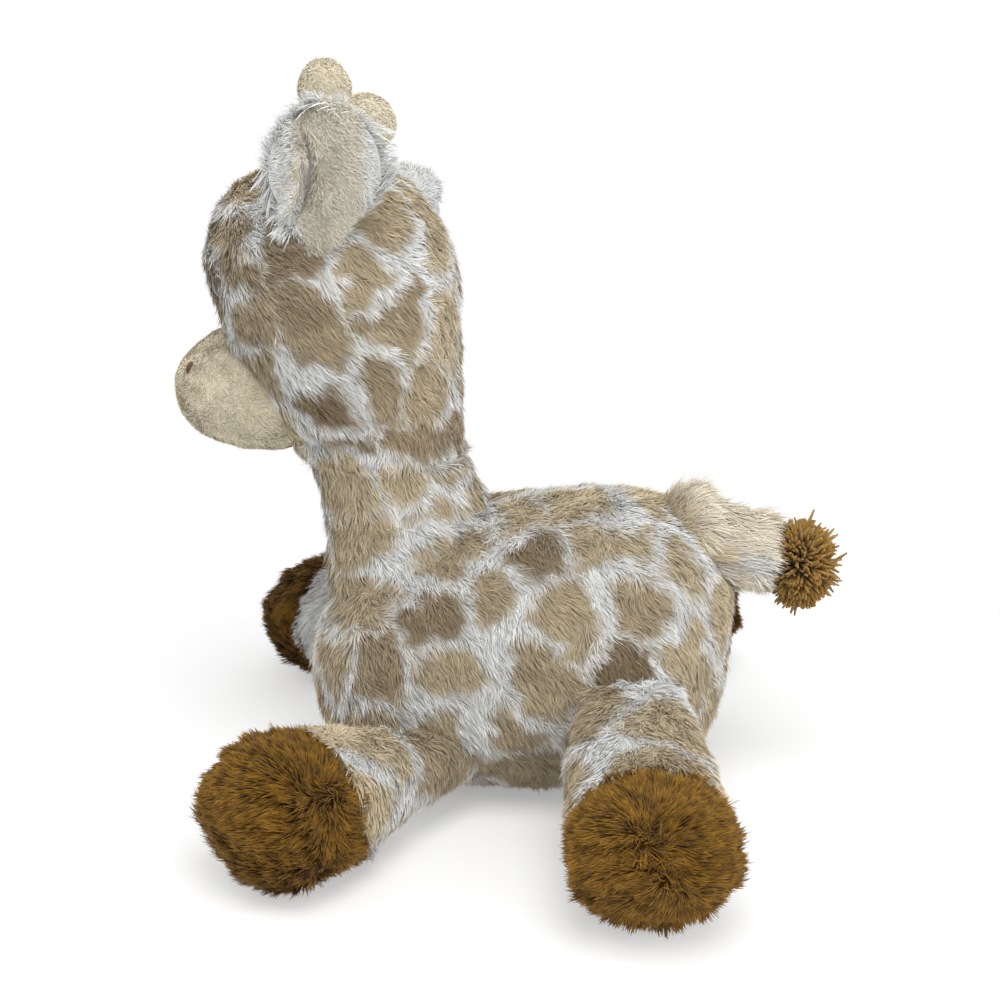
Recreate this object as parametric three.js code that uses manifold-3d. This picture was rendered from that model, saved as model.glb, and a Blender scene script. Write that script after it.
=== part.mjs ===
// A plush giraffe that lies on its belly with its legs spread, in millimetres.
// It faces -Y, its own left side is +X and up is +Z.
// The origin is on the flat of the belly, in the middle plane, on the floor.

import * as THREE from 'three';
import { mergeVertices } from 'three/addons/utils/BufferGeometryUtils.js';
import Module from 'manifold-3d';

const wasm = await Module();
wasm.setup();

// Sizes of cloth and seams
const longPile = 3; // wall of a long-pile cover, its pile pressed flat
const shortPile = 2; // wall of a short-pile cover
const gap = 0.3; // clearance between pieces that touch
const swingGap = 0.4; // clearance round the root of a piece that swings
const flat = 0.5; // depth of the flat where a stuffed form rests
const reachPast = 60; // how far a cutting block runs past what it cuts

// Torso: a long bag, flat under the belly
const torso = { front: -98, length: 217, width: 144, height: 152, frontCap: 40, backCap: 46 };
// Each row: share along, then lowest, middle and highest shares of the height, and half width share
const torsoShares = [
  [0.0, 0.1, 0.38, 0.66, 0.66],
  [0.1, 0.03, 0.41, 0.76, 0.82],
  [0.25, 0.0, 0.44, 0.87, 0.93],
  [0.45, 0.0, 0.47, 0.98, 0.99],
  [0.65, 0.0, 0.49, 1.0, 1.0],
  [0.82, 0.01, 0.51, 0.99, 0.92],
  [0.93, 0.04, 0.54, 0.97, 0.77],
  [1.0, 0.16, 0.56, 0.94, 0.62],
];

// Neck: a short column with a round root that rocks in the torso
const neck = { depth: 92, width: 86, rise: 58 };
const neckRootShares = { along: 0.253, height: 0.72 }; // of the torso's length and height
const neckBend = { back: 12, forward: 18 }; // degrees
// Each row: share of the rise, then how far the middle leans forward and the depth, as shares of the depth,
// and the width, as a share of the width
const neckShares = [
  [-1.0, 0.0, 1.0, 1.0],
  [0.0, 0.0, 1.0, 1.0],
  [0.3, 0.01, 0.965, 0.98],
  [0.6, 0.05, 0.92, 0.94],
  [0.85, 0.11, 0.9, 0.93],
  [1.0, 0.145, 0.9, 0.94],
];

// Head: a tall rounded form that turns on the neck
const head = { height: 146, depth: 126, width: 124, topCap: 56 };
const headBackShare = 0.315; // how far behind the neck's top middle the head's back lies, of its depth
// Each row: share up, then back, middle and front shares of the depth, and half width share
const headShares = [
  [0.0, 0.0, 0.33, 0.66, 0.66],
  [0.12, 0.0, 0.37, 0.76, 0.76],
  [0.29, 0.005, 0.43, 0.88, 0.89],
  [0.46, 0.01, 0.47, 0.955, 0.98],
  [0.62, 0.02, 0.5, 1.0, 1.0],
  [0.75, 0.05, 0.51, 0.995, 0.97],
  [1.0, 0.12, 0.53, 0.93, 0.86],
];

// Muzzle: a short-pile cap on the front of the head
const muzzle = { length: 76, height: 65, width: 76, tipCap: 44 };
const muzzleBaseShares = { forward: 0.55, height: 0.228 }; // of the head's depth and height
// Each row: share along, then half height below and above, and half width, as shares
const muzzleShares = [
  [0.0, 0.96, 0.9, 0.96],
  [0.35, 1.0, 1.0, 1.0],
  [0.7, 0.97, 0.96, 0.97],
  [1.0, 0.86, 0.84, 0.9],
];
const nostril = { length: 5, thickness: 1.6, sink: 0.4 };
const nostrilShares = { along: 0.86, turn: 0.135 }; // of the muzzle's length, and of a full turn from its top

// Safety eyes: a domed plastic eye whose ribbed stem runs through the cover into a washer
const eye = { radius: 6.5, dome: 4.5, rim: 0.8, stem: 2, stemLength: 13 };
const washer = { radius: 7.5, thickness: 1.6, inside: 1.4 };
const eyeShares = { height: 0.585, turn: 0.062 }; // of the head's height, and of a full turn from its front

// Ears: a plush leaf with a short-pile lining, cupped, on a soft root
const ear = { length: 68, width: 53, thickness: 8, cup: 9, root: 9, tipCap: 27 };
const lining = { thickness: 2.4, marginShare: 0.86 };
const earRootShares = { across: 0.8, forward: 0.45, height: 0.73 }; // of the head
// Each row: share up the ear, half width share, half thickness share
const earShares = [
  [0.0, 0.34, 1.0],
  [0.18, 0.66, 1.0],
  [0.42, 0.98, 1.0],
  [0.62, 1.0, 0.95],
  [0.82, 0.88, 0.9],
  [1.0, 0.6, 0.8],
];
const ears = [
  { name: 'left_ear', side: 1, lean: 4, sweep: 2, face: 0, inward: 4, outward: 30 },
  { name: 'right_ear', side: -1, lean: 64, sweep: 39, face: 24, inward: 12, outward: 25 },
];

// Horns: short-pile stubs with a fuller end
const horn = { root: 11, end: 15.5, endCap: 16, mouth: 5 };
const hornLengths = { left: 50, right: 59 };
const hornRootShares = { across: 0.3, height: 0.935 }; // of the head
const hornNod = 18; // degrees each way
// Each row: share along, share of the way from the root's radius to the end's
const hornShares = [
  [0.0, 0.0],
  [0.25, 0.0],
  [0.5, 0.35],
  [0.72, 1.0],
  [1.0, 0.9],
];
const horns = [
  { name: 'left_horn', side: 1, forwardShare: 0.44, lean: 24, length: hornLengths.left },
  { name: 'right_horn', side: -1, forwardShare: 0.52, lean: -2, length: hornLengths.right },
];

// Legs: narrow at the root, swelling to a shaggy hoof that lies on the floor
const hoof = { radius: 36.5, endCap: 31, overlap: 12 };
const legReaches = { frontLeft: 101.5, frontRight: 114.5, hindLeft: 114.5, hindRight: 106.5 };
const legPairs = {
  front: { root: 17, rootShares: { along: 0.36, across: 0.76, height: 0.2 }, swellPower: 1.0 },
  hind: { root: 27, rootShares: { along: 0.755, across: 0.62, height: 0.4 }, swellPower: 0.9 },
};
// Each row: share along, share of the way from the root's height and radius to the hoof's
const legShares = [
  [0.0, 0.0, 0.0],
  [0.12, 0.0, 0.0],
  [0.3, 0.28, 0.22],
  [0.5, 0.72, 0.62],
  [0.66, 1.0, 0.93],
  [0.8, 1.0, 1.0],
  [1.0, 1.0, 0.92],
];
// Heading is in degrees from straight out to the side, and back is positive
const legs = [
  { name: 'front_left', pair: 'front', side: 1, heading: -42, reach: legReaches.frontLeft,
    forward: 10, back: 25 },
  { name: 'front_right', pair: 'front', side: -1, heading: -51, reach: legReaches.frontRight,
    forward: 10, back: 25 },
  { name: 'hind_left', pair: 'hind', side: 1, heading: 6, reach: legReaches.hindLeft,
    forward: 20, back: 15 },
  { name: 'hind_right', pair: 'hind', side: -1, heading: 15, reach: legReaches.hindRight,
    forward: 20, back: 15 },
];

// Tail: a fat stub with a yarn pom-pom sewn to its end
const tail = { length: 43, root: 23, end: 17, drop: 8, mouth: 3.6 };
const tailRootShares = { along: 0.9, height: 0.835 }; // of the torso
const tailSwing = 25; // degrees to each side
// Each row: share along, share of the way from the root's radius to the end's, share of the drop
const tailShares = [
  [0.0, 0.0, 0.0],
  [0.2, 0.0, 0.0],
  [0.36, 0.0, 0.04],
  [0.55, 0.6, 0.65],
  [0.75, 1.0, 1.0],
  [1.0, 1.0, 1.0],
];
const pompom = { radius: 20, lobe: 1.2, lobes: 5, sinkShare: 0.28, drop: 4 };
const tie = { radius: 2.6, length: 19 };

// Fineness of the facets
const fine = { sides: 20, capRings: 4, rings: 7 };
const column = { sides: 20, capRings: 6, rings: 4 };
const limb = { sides: 16, capRings: 5, rings: 4 };
const medium = { sides: 16, capRings: 4, rings: 4 };
const coarse = { sides: 12, capRings: 3, rings: 4 };
const rough = { sides: 8, capRings: 2, rings: 3 };
const around = 10; // facets round a small turned piece
const ballRows = 8;
const swingStep = 12; // degrees between the places that an ear is cleared at
const roomRows = 8; // rows that the room of a swinging piece is worked out at

const ahead = new THREE.Vector3(0, -1, 0);
const back = new THREE.Vector3(0, 1, 0);
const left = new THREE.Vector3(1, 0, 0);
const up = new THREE.Vector3(0, 0, 1);

// A smooth value between the rows of a table, whose first column is the place
function between(rows, place, column) {
  const last = rows.length - 1;
  const at = THREE.MathUtils.clamp(place, rows[0][0], rows[last][0]);
  let i = 0;
  while (i < last - 1 && at > rows[i + 1][0]) i += 1;
  const slope = (a, b) => (rows[b][column] - rows[a][column]) / (rows[b][0] - rows[a][0]);
  const step = rows[i + 1][0] - rows[i][0];
  const t = (at - rows[i][0]) / step;
  const before = slope(Math.max(i - 1, 0), i + 1) * step;
  const after = slope(i, Math.min(i + 2, last)) * step;
  const squared = t * t;
  const cubed = squared * t;
  return (2 * cubed - 3 * squared + 1) * rows[i][column] + (cubed - 2 * squared + t) * before
    + (3 * squared - 2 * cubed) * rows[i + 1][column] + (cubed - squared) * after;
}

// How far a rounded end has opened, from 0 at its pole to 1 where it ends
function opening(place, cap, power) {
  if (cap <= 0 || place >= cap) return 1;
  return (1 - ((cap - place) / cap) ** power) ** (1 / power);
}

// A form runs from start along its axis. Its rows hold the place along it, then low, middle and high
// across its up direction, and the half width. Inset makes it smaller all over, and below 0 larger.
function ringPoint(form, inset, place, angle) {
  const length = form.length - 2 * inset;
  const at = place + inset;
  const startOpen = opening(place, form.startCap - (form.startCap > 0 ? inset : 0), form.startPower);
  const endOpen = opening(length - place, form.endCap - (form.endCap > 0 ? inset : 0), form.endPower);
  const open = startOpen * endOpen;
  const middle = between(form.rows, at, 2);
  const high = Math.max(between(form.rows, at, 3) - inset - middle, 0) * open;
  const low = Math.max(middle - between(form.rows, at, 1) - inset, 0) * open;
  const half = Math.max(between(form.rows, at, 4) - inset, 0) * open;
  const cos = Math.cos(angle);
  const sin = Math.sin(angle);
  const power = sin < 0 ? form.lowPower : form.highPower;
  const across = half * Math.sign(cos) * Math.abs(cos) ** (2 / power);
  const height = (sin < 0 ? low : high) * Math.sign(sin) * Math.abs(sin) ** (2 / power);
  return form.start.clone()
    .addScaledVector(form.axis, at)
    .addScaledVector(form.up, middle + height)
    .addScaledVector(form.across, across);
}

function makeForm(values) {
  const caps = { startCap: 0, endCap: 0, startPower: 2, endPower: 2.2 };
  const form = { ...caps, highPower: 2.1, lowPower: 2.1, ...values };
  form.across = new THREE.Vector3().crossVectors(form.up, form.axis);
  return form;
}

// The closed mesh of a form, with a pole at each end
function loft(form, inset, detail) {
  const length = form.length - 2 * inset;
  const startCap = form.startCap > 0 ? form.startCap - inset : 0;
  const endCap = form.endCap > 0 ? form.endCap - inset : 0;
  const places = [];
  const capPlace = (cap, i) => cap * (1 - Math.cos((i / detail.capRings) * (Math.PI / 2)));
  for (let i = 1; startCap > 0 && i < detail.capRings; i += 1) places.push(capPlace(startCap, i));
  for (let i = 0; i <= detail.rings; i += 1) {
    places.push(startCap + (i / detail.rings) * (length - startCap - endCap));
  }
  for (let i = detail.capRings - 1; endCap > 0 && i > 0; i -= 1) places.push(length - capPlace(endCap, i));
  const points = [];
  const addPole = (place) => {
    const low = ringPoint(form, inset, place, -Math.PI / 2);
    const high = ringPoint(form, inset, place, Math.PI / 2);
    points.push(low.add(high).multiplyScalar(1 / 2));
  };
  addPole(0);
  for (const place of places) {
    for (let k = 0; k < detail.sides; k += 1) {
      points.push(ringPoint(form, inset, place, (k / detail.sides) * 2 * Math.PI));
    }
  }
  addPole(length);
  const index = [];
  const vertex = (ring, k) => 1 + ring * detail.sides + (k % detail.sides);
  const lastRing = places.length - 1;
  for (let k = 0; k < detail.sides; k += 1) {
    index.push(0, vertex(0, k + 1), vertex(0, k));
    for (let ring = 0; ring < lastRing; ring += 1) {
      index.push(vertex(ring, k), vertex(ring + 1, k + 1), vertex(ring + 1, k));
      index.push(vertex(ring, k), vertex(ring, k + 1), vertex(ring + 1, k + 1));
    }
    index.push(points.length - 1, vertex(lastRing, k), vertex(lastRing, k + 1));
  }
  const geometry = new THREE.BufferGeometry().setFromPoints(points);
  geometry.setIndex(index);
  return geometry;
}

function solid(geometry) {
  const bare = geometry.clone();
  bare.deleteAttribute('normal');
  bare.deleteAttribute('uv');
  const merged = mergeVertices(bare);
  return new wasm.Manifold(new wasm.Mesh({
    numProp: 3,
    vertProperties: merged.attributes.position.array,
    triVerts: Uint32Array.from(merged.index.array),
  }));
}

const formSolid = (form, inset, detail) => solid(loft(form, inset, detail));
const cut = (piece, ...tools) => tools.reduce((rest, tool) => rest.subtract(tool), piece);

// The room that a form swings in about the ball at its root, as one squarer form that widens with the
// distance from the pivot. Swing holds degrees towards its low side, its high side and both ways across.
// Spare is more room all over, round a filling.
function swingRoom(form, detail, root, swing, spare = 0) {
  const sine = (degrees) => Math.sin(THREE.MathUtils.degToRad(degrees));
  const grow = swingGap + spare + root * (1 / Math.cos(Math.PI / 4 / detail.capRings) - 1);
  const widest = Math.max(swing.low, swing.high, swing.across);
  const shorten = Math.cos(THREE.MathUtils.degToRad(widest));
  const girth = (at) => Math.max(
    between(form.rows, at, 4), between(form.rows, at, 3) - between(form.rows, at, 2));
  const row = (at, near, far) => [
    at,
    Math.min(between(form.rows, near, 1), between(form.rows, far, 1)) - (far - root) * sine(swing.low),
    between(form.rows, near, 2),
    Math.max(between(form.rows, near, 3), between(form.rows, far, 3)) + (far - root) * sine(swing.high),
    Math.max(between(form.rows, near, 4), between(form.rows, far, 4)) + (far - root) * sine(swing.across),
  ];
  const rows = [row(0, root, root)];
  for (let i = 0; i <= roomRows; i += 1) {
    const far = root + (i / roomRows) * (form.length - root);
    const near = root + (far - root) * shorten - girth(far) * sine(widest);
    rows.push(row(near, near, far));
  }
  const turned = form.axis.clone().applyAxisAngle(form.up, THREE.MathUtils.degToRad(swing.turn ?? 0));
  const pivot = form.start.clone().addScaledVector(form.axis, root);
  return formSolid(makeForm({
    ...form, rows, axis: turned, start: pivot.addScaledVector(turned, -root), highPower: 4, lowPower: 4,
  }), -grow, detail);
}

// Everything that a thin piece passes through as it swings about an axis through a pivot
function swept(geometry, pivot, axis, from, to) {
  const steps = Math.ceil((to - from) / swingStep);
  const copies = [];
  for (let i = 0; i <= steps; i += 1) {
    const angle = THREE.MathUtils.degToRad(from + (i / steps) * (to - from));
    const turned = geometry.clone().translate(-pivot.x, -pivot.y, -pivot.z)
      .applyMatrix4(new THREE.Matrix4().makeRotationAxis(axis, angle)).translate(pivot.x, pivot.y, pivot.z);
    copies.push(solid(turned));
  }
  return copies;
}

// A block that fills everything below, or above, a height
function blockBelow(height, size) {
  const block = new THREE.BoxGeometry(size, size, size);
  block.translate(0, 0, height - size / 2);
  return solid(block);
}

function blockAbove(height, size) {
  const block = new THREE.BoxGeometry(size, size, size);
  block.translate(0, 0, height + size / 2);
  return solid(block);
}

// Places that follow from the sizes
const torsoAt = (along) => torso.front + along * torso.length;
const neckPivot = new THREE.Vector3(0, torsoAt(neckRootShares.along), neckRootShares.height * torso.height);
const neckTop = neckPivot.z + neck.rise;
const neckTopMiddle = neckPivot.y - between(neckShares, 1, 1) * neck.depth;
const headPivot = new THREE.Vector3(0, neckTopMiddle, neckTop);
const headBack = neckTopMiddle + headBackShare * head.depth;
const inHead = (across, forward, height) => new THREE.Vector3(
  across * (head.width / 2), headBack - forward * head.depth, neckTop + height * head.height);

const torsoForm = makeForm({
  start: new THREE.Vector3(0, torso.front, 0),
  axis: back,
  up,
  length: torso.length,
  startCap: torso.frontCap,
  endCap: torso.backCap,
  lowPower: 2.7,
  rows: torsoShares.map(([along, low, middle, high, half]) => [
    along * torso.length,
    low * torso.height - flat,
    middle * torso.height,
    high * torso.height,
    half * (torso.width / 2),
  ]),
});

const neckForm = makeForm({
  start: new THREE.Vector3(0, neckPivot.y, neckPivot.z - neck.depth / 2),
  axis: up,
  up: ahead,
  length: neck.depth / 2 + neck.rise + reachPast,
  startCap: neck.depth / 2,
  rows: neckShares.map(([share, lean, depth, width]) => [
    neck.depth / 2 + share * (share < 0 ? neck.depth / 2 : neck.rise),
    (lean - depth / 2) * neck.depth,
    lean * neck.depth,
    (lean + depth / 2) * neck.depth,
    width * (neck.width / 2),
  ]),
});

const headForm = makeForm({
  start: new THREE.Vector3(0, headBack, neckTop),
  axis: up,
  up: ahead,
  length: head.height,
  endCap: head.topCap,
  endPower: 2.4,
  rows: headShares.map(([share, low, middle, high, half]) => [
    share * head.height,
    low * head.depth,
    middle * head.depth,
    high * head.depth,
    half * (head.width / 2),
  ]),
});

const muzzleForm = makeForm({
  start: inHead(0, muzzleBaseShares.forward, muzzleBaseShares.height),
  axis: ahead,
  up,
  length: muzzle.length,
  startCap: muzzle.tipCap / 2,
  endCap: muzzle.tipCap,
  rows: muzzleShares.map(([along, low, high, half]) => [
    along * muzzle.length,
    -low * (muzzle.height / 2),
    0,
    high * (muzzle.height / 2),
    half * (muzzle.width / 2),
  ]),
});

// A leg's form starts behind its pivot, so that its root is a ball about the pivot
function legForm(leg) {
  const pair = legPairs[leg.pair];
  const shares = pair.rootShares;
  const pivot = new THREE.Vector3(
    leg.side * shares.across * (torso.width / 2), torsoAt(shares.along), shares.height * torso.height);
  const heading = THREE.MathUtils.degToRad(leg.heading);
  const axis = new THREE.Vector3(leg.side * Math.cos(heading), Math.sin(heading), 0);
  const beyond = hoof.radius;
  const length = pair.root + leg.reach + beyond;
  const hoofMiddle = hoof.radius - flat;
  const rows = legShares.map(([along, rise, swell]) => {
    const middle = pivot.z + (hoofMiddle - pivot.z) * rise;
    const radius = pair.root + (hoof.radius - pair.root) * swell ** pair.swellPower;
    return [along * length, middle - radius, middle, middle + radius, radius];
  });
  const form = makeForm({
    start: pivot.clone().addScaledVector(axis, -pair.root).setZ(0),
    axis,
    up,
    length,
    startCap: pair.root,
    endCap: hoof.endCap,
    rows,
  });
  const seam = pair.root + leg.reach - hoof.overlap;
  return { ...leg, form, pivot, axis: up.clone().multiplyScalar(leg.side), seam };
}

const tailPivot = new THREE.Vector3(0, torsoAt(tailRootShares.along), tailRootShares.height * torso.height);
const tailForm = makeForm({
  start: tailPivot.clone().addScaledVector(back, -tail.root),
  axis: back,
  up,
  length: tail.root + tail.length,
  startCap: tail.root,
  endCap: tail.end,
  endPower: 2,
  rows: tailShares.map(([along, narrow, drop]) => {
    const radius = tail.root + (tail.end - tail.root) * narrow;
    const middle = -drop * tail.drop;
    return [along * (tail.root + tail.length), middle - radius, middle, middle + radius, radius];
  }),
});

function hornForm(part) {
  const pivot = inHead(part.side * hornRootShares.across, part.forwardShare, hornRootShares.height);
  const axis = up.clone().applyAxisAngle(left, -THREE.MathUtils.degToRad(part.lean));
  const length = horn.root + part.length - horn.endCap / 2;
  const form = makeForm({
    start: pivot.clone().addScaledVector(axis, -horn.root),
    axis,
    up: new THREE.Vector3().crossVectors(axis, left),
    length,
    startCap: horn.root,
    endCap: horn.endCap,
    rows: hornShares.map(([along, swell]) => {
      const radius = horn.root + (horn.end - horn.root) * swell;
      return [along * length, -radius, 0, radius, radius];
    }),
  });
  return { ...part, form, pivot };
}

// An ear stands on a soft round root, and its sides curl towards the lining
function earForms(part) {
  const pivot = inHead(part.side * earRootShares.across, earRootShares.forward, earRootShares.height);
  const lean = THREE.MathUtils.degToRad(part.lean);
  const sweep = THREE.MathUtils.degToRad(part.sweep);
  const axis = new THREE.Vector3(
    part.side * Math.sin(lean) * Math.cos(sweep), Math.sin(lean) * Math.sin(sweep), Math.cos(lean));
  const outward = new THREE.Vector3(part.side, 0, 0);
  const face = outward.addScaledVector(axis, -outward.dot(axis)).normalize()
    .applyAxisAngle(axis, THREE.MathUtils.degToRad(part.face));
  const leaf = (low, high, share) => makeForm({
    start: pivot,
    axis,
    up: face,
    length: ear.length,
    endCap: ear.tipCap,
    rows: earShares.map(([along, half, thick]) => [
      along * ear.length,
      low * thick,
      0,
      high * thick,
      half * share * (ear.width / 2),
    ]),
  });
  return {
    ...part,
    pivot,
    face,
    wide: new THREE.Vector3().crossVectors(face, axis),
    hinge: new THREE.Vector3().crossVectors(axis, new THREE.Vector3(part.side, 0, 0)).normalize(),
    back: leaf(-ear.thickness / 2, ear.thickness / 2, 1),
    pad: leaf(0, ear.thickness / 2 + lining.thickness, lining.marginShare),
  };
}

// Bends an ear's leaf into a cup about its middle line
function cupped(geometry, part) {
  const point = new THREE.Vector3();
  const places = geometry.attributes.position;
  for (let i = 0; i < places.count; i += 1) {
    point.fromBufferAttribute(places, i);
    const side = point.clone().sub(part.pivot).dot(part.wide) / (ear.width / 2);
    point.addScaledVector(part.face, ear.cup * side * side);
    places.setXYZ(i, point.x, point.y, point.z);
  }
  return geometry;
}

// The point of a form at a place and an angle, and the direction straight out of it there
function onForm(form, place, angle) {
  const small = form.length / 1000;
  const point = ringPoint(form, 0, place, angle);
  const alongIt = ringPoint(form, 0, place + small, angle).sub(ringPoint(form, 0, place - small, angle));
  const roundIt = ringPoint(form, 0, place, angle + 0.01).sub(ringPoint(form, 0, place, angle - 0.01));
  return { point, out: new THREE.Vector3().crossVectors(roundIt, alongIt).normalize() };
}

// Moves a geometry made about the y axis so that the axis points out of a surface
function standOn(geometry, place, lift) {
  const turn = new THREE.Quaternion().setFromUnitVectors(new THREE.Vector3(0, 1, 0), place.out);
  geometry.applyQuaternion(turn);
  const at = place.point.clone().addScaledVector(place.out, lift);
  return geometry.translate(at.x, at.y, at.z);
}

// An eye's profile, grown all over by a clearance
function eyeGeometry(grow) {
  const profile = [new THREE.Vector2(0, -eye.stemLength - grow)];
  profile.push(new THREE.Vector2(eye.stem + grow, -eye.stemLength - grow));
  profile.push(new THREE.Vector2(eye.stem + grow, -grow));
  profile.push(new THREE.Vector2(eye.radius + grow, -grow));
  profile.push(new THREE.Vector2(eye.radius + grow, eye.rim + grow));
  for (let i = 1; i < 3; i += 1) {
    const a = (i / 3) * (Math.PI / 2);
    profile.push(new THREE.Vector2(
      (eye.radius + grow) * Math.cos(a), eye.rim + grow + (eye.dome - eye.rim) * Math.sin(a)));
  }
  profile.push(new THREE.Vector2(0, eye.dome + grow));
  return new THREE.LatheGeometry(profile, around);
}

function washerGeometry(bore, grow) {
  const top = -longPile - washer.inside + grow;
  const bottom = -longPile - washer.inside - washer.thickness - grow;
  const outer = washer.radius + grow;
  return new THREE.LatheGeometry([
    new THREE.Vector2(bore, bottom),
    new THREE.Vector2(outer, bottom),
    new THREE.Vector2(outer, top),
    new THREE.Vector2(bore, top),
    new THREE.Vector2(bore, bottom),
  ], around);
}

function pompomGeometry() {
  const geometry = new THREE.IcosahedronGeometry(pompom.radius, 3);
  const point = new THREE.Vector3();
  const places = geometry.attributes.position;
  for (let i = 0; i < places.count; i += 1) {
    point.fromBufferAttribute(places, i);
    const turn = point.clone().normalize();
    const wave = Math.sin(pompom.lobes * turn.x) * Math.cos(pompom.lobes * turn.y + turn.z);
    point.addScaledVector(turn, pompom.lobe * wave);
    places.setXYZ(i, point.x, point.y, point.z);
  }
  return geometry;
}

// Finishes of the pieces
const finish = (color, roughness) => new THREE.MeshStandardMaterial({ color, roughness, metalness: 0 });
const finishes = {
  plush: finish('#d6c9b4', 0.95),
  minky: finish('#d9cfb6', 0.9),
  shag: finish('#8f682c', 0.95),
  filling: finish('#f1efe8', 1),
  plastic: finish('#15110f', 0.15),
  washer: finish('#e7e5df', 0.5),
  thread: finish('#5b4026', 0.8),
  yarn: finish('#96702f', 0.95),
};

const group = new THREE.Group();

// A body is a group at its pivot, and its pieces are placed from there
function addBody(parent, parentPivot, pivot) {
  const body = new THREE.Group();
  body.position.copy(pivot).sub(parentPivot);
  parent.add(body);
  return { body, pivot };
}

function addPiece(holder, name, piece, material) {
  const made = piece.getMesh();
  const geometry = new THREE.BufferGeometry();
  geometry.setAttribute('position', new THREE.BufferAttribute(Float32Array.from(made.vertProperties), 3));
  geometry.setIndex(new THREE.BufferAttribute(Uint32Array.from(made.triVerts), 1));
  geometry.translate(-holder.pivot.x, -holder.pivot.y, -holder.pivot.z);
  geometry.computeVertexNormals();
  const mesh = new THREE.Mesh(geometry, material);
  mesh.name = name;
  holder.body.add(mesh);
}

const whole = 4 * (torso.length + head.height + neck.rise); // a block larger than the toy
const floor = blockBelow(0, whole);
const core = longPile + gap; // inset of a filling inside a long-pile cover
const shortCore = shortPile + gap;

const origin = new THREE.Vector3();
const torsoBody = addBody(group, origin, origin);
const neckBody = addBody(torsoBody.body, origin, neckPivot);
const headBody = addBody(neckBody.body, neckPivot, headPivot);

// Legs
const legParts = legs.map(legForm);
const legSwing = (leg) => ({
  low: 0, high: 0, across: (leg.forward + leg.back) / 2, turn: leg.side * (leg.back - leg.forward) / 2,
});
const legRoom = (detail, spare) => legParts.map((leg) => swingRoom(
  leg.form, detail, legPairs[leg.pair].root, legSwing(leg), spare));
for (const leg of legParts) {
  const holder = addBody(torsoBody.body, origin, leg.pivot);
  const seamAt = leg.form.start.clone().addScaledVector(leg.form.axis, leg.seam);
  const heading = Math.atan2(leg.form.axis.y, leg.form.axis.x);
  const slab = (turn) => solid(new THREE.BoxGeometry(whole, whole, whole)
    .translate(whole / 2 - gap / 2, 0, 0).rotateZ(heading + turn).translate(seamAt.x, seamAt.y, seamAt.z));
  const outside = slab(0);
  const inside = slab(Math.PI);
  const cover = cut(formSolid(leg.form, 0, limb), formSolid(leg.form, longPile, rough), floor);
  addPiece(holder, `${leg.name}_leg_skin`, cover.subtract(outside), finishes.plush);
  addPiece(holder, `${leg.name}_hoof_skin`, cover.subtract(inside), finishes.shag);
  addPiece(holder, `${leg.name}_leg_stuffing`, formSolid(leg.form, core, rough), finishes.filling);
}

// Tail and pom-pom
const pompomPivot = tailForm.start.clone()
  .addScaledVector(back, tailForm.length - tail.end).addScaledVector(up, -tail.drop);
const pompomMiddle = pompomPivot.clone()
  .addScaledVector(back, tail.end + pompom.radius * (1 - pompom.sinkShare)).addScaledVector(up, -pompom.drop);
const tailRoom = (detail, spare) => swingRoom(
  tailForm, detail, tail.root, { low: 0, high: 0, across: tailSwing }, spare);
const tailBody = addBody(torsoBody.body, origin, tailPivot);
const pompomBody = addBody(tailBody.body, tailPivot, pompomPivot);
const towards = pompomMiddle.clone().sub(pompomPivot).normalize();
const tieTurn = new THREE.Quaternion().setFromUnitVectors(new THREE.Vector3(0, 1, 0), towards);
const rod = (radius, from, to) => {
  const middle = pompomPivot.clone().addScaledVector(towards, (from + to) / 2);
  return solid(new THREE.CylinderGeometry(radius, radius, to - from, around)
    .applyQuaternion(tieTurn).translate(middle.x, middle.y, middle.z));
};
const tieFrom = tail.end + swingGap + gap;
addPiece(tailBody, 'tail_skin', cut(
  formSolid(tailForm, 0, limb), formSolid(tailForm, longPile, rough),
  rod(tail.mouth, tail.end / 2, 2 * tail.end)), finishes.plush);
addPiece(tailBody, 'tail_stuffing', formSolid(tailForm, core, rough), finishes.filling);
const socket = solid(new THREE.SphereGeometry(tail.end + 2 * swingGap, 2 * around, around)
  .translate(pompomPivot.x, pompomPivot.y, pompomPivot.z));
const yarnBall = solid(pompomGeometry().translate(pompomMiddle.x, pompomMiddle.y, pompomMiddle.z));
addPiece(pompomBody, 'tail_pompom', cut(
  yarnBall, socket, rod(tie.radius + gap, tail.end / 2, tieFrom + tie.length + gap)), finishes.yarn);
addPiece(pompomBody, 'pompom_tie', rod(tie.radius, tieFrom, tieFrom + tie.length), finishes.thread);

// Torso
const neckRoom = (detail, spare) => swingRoom(neckForm, detail, neck.depth / 2, {
  low: neckBend.back, high: neckBend.forward, across: 0,
}, spare);
addPiece(torsoBody, 'torso_skin', cut(
  formSolid(torsoForm, 0, fine), formSolid(torsoForm, longPile, coarse), floor,
  neckRoom(column), tailRoom(limb), ...legRoom(limb)), finishes.plush);
addPiece(torsoBody, 'torso_stuffing', cut(
  formSolid(torsoForm, core, coarse), neckRoom(rough, longPile),
  tailRoom(rough, longPile), ...legRoom(rough, longPile)), finishes.filling);

// Neck, cut level at the crease under the head
const aboveNeck = blockAbove(neckTop - gap / 2, whole);
addPiece(neckBody, 'neck_skin', cut(
  formSolid(neckForm, 0, column), formSolid(neckForm, longPile, coarse), aboveNeck), finishes.plush);
addPiece(neckBody, 'neck_stuffing', formSolid(neckForm, core, coarse).subtract(aboveNeck), finishes.filling);

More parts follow.
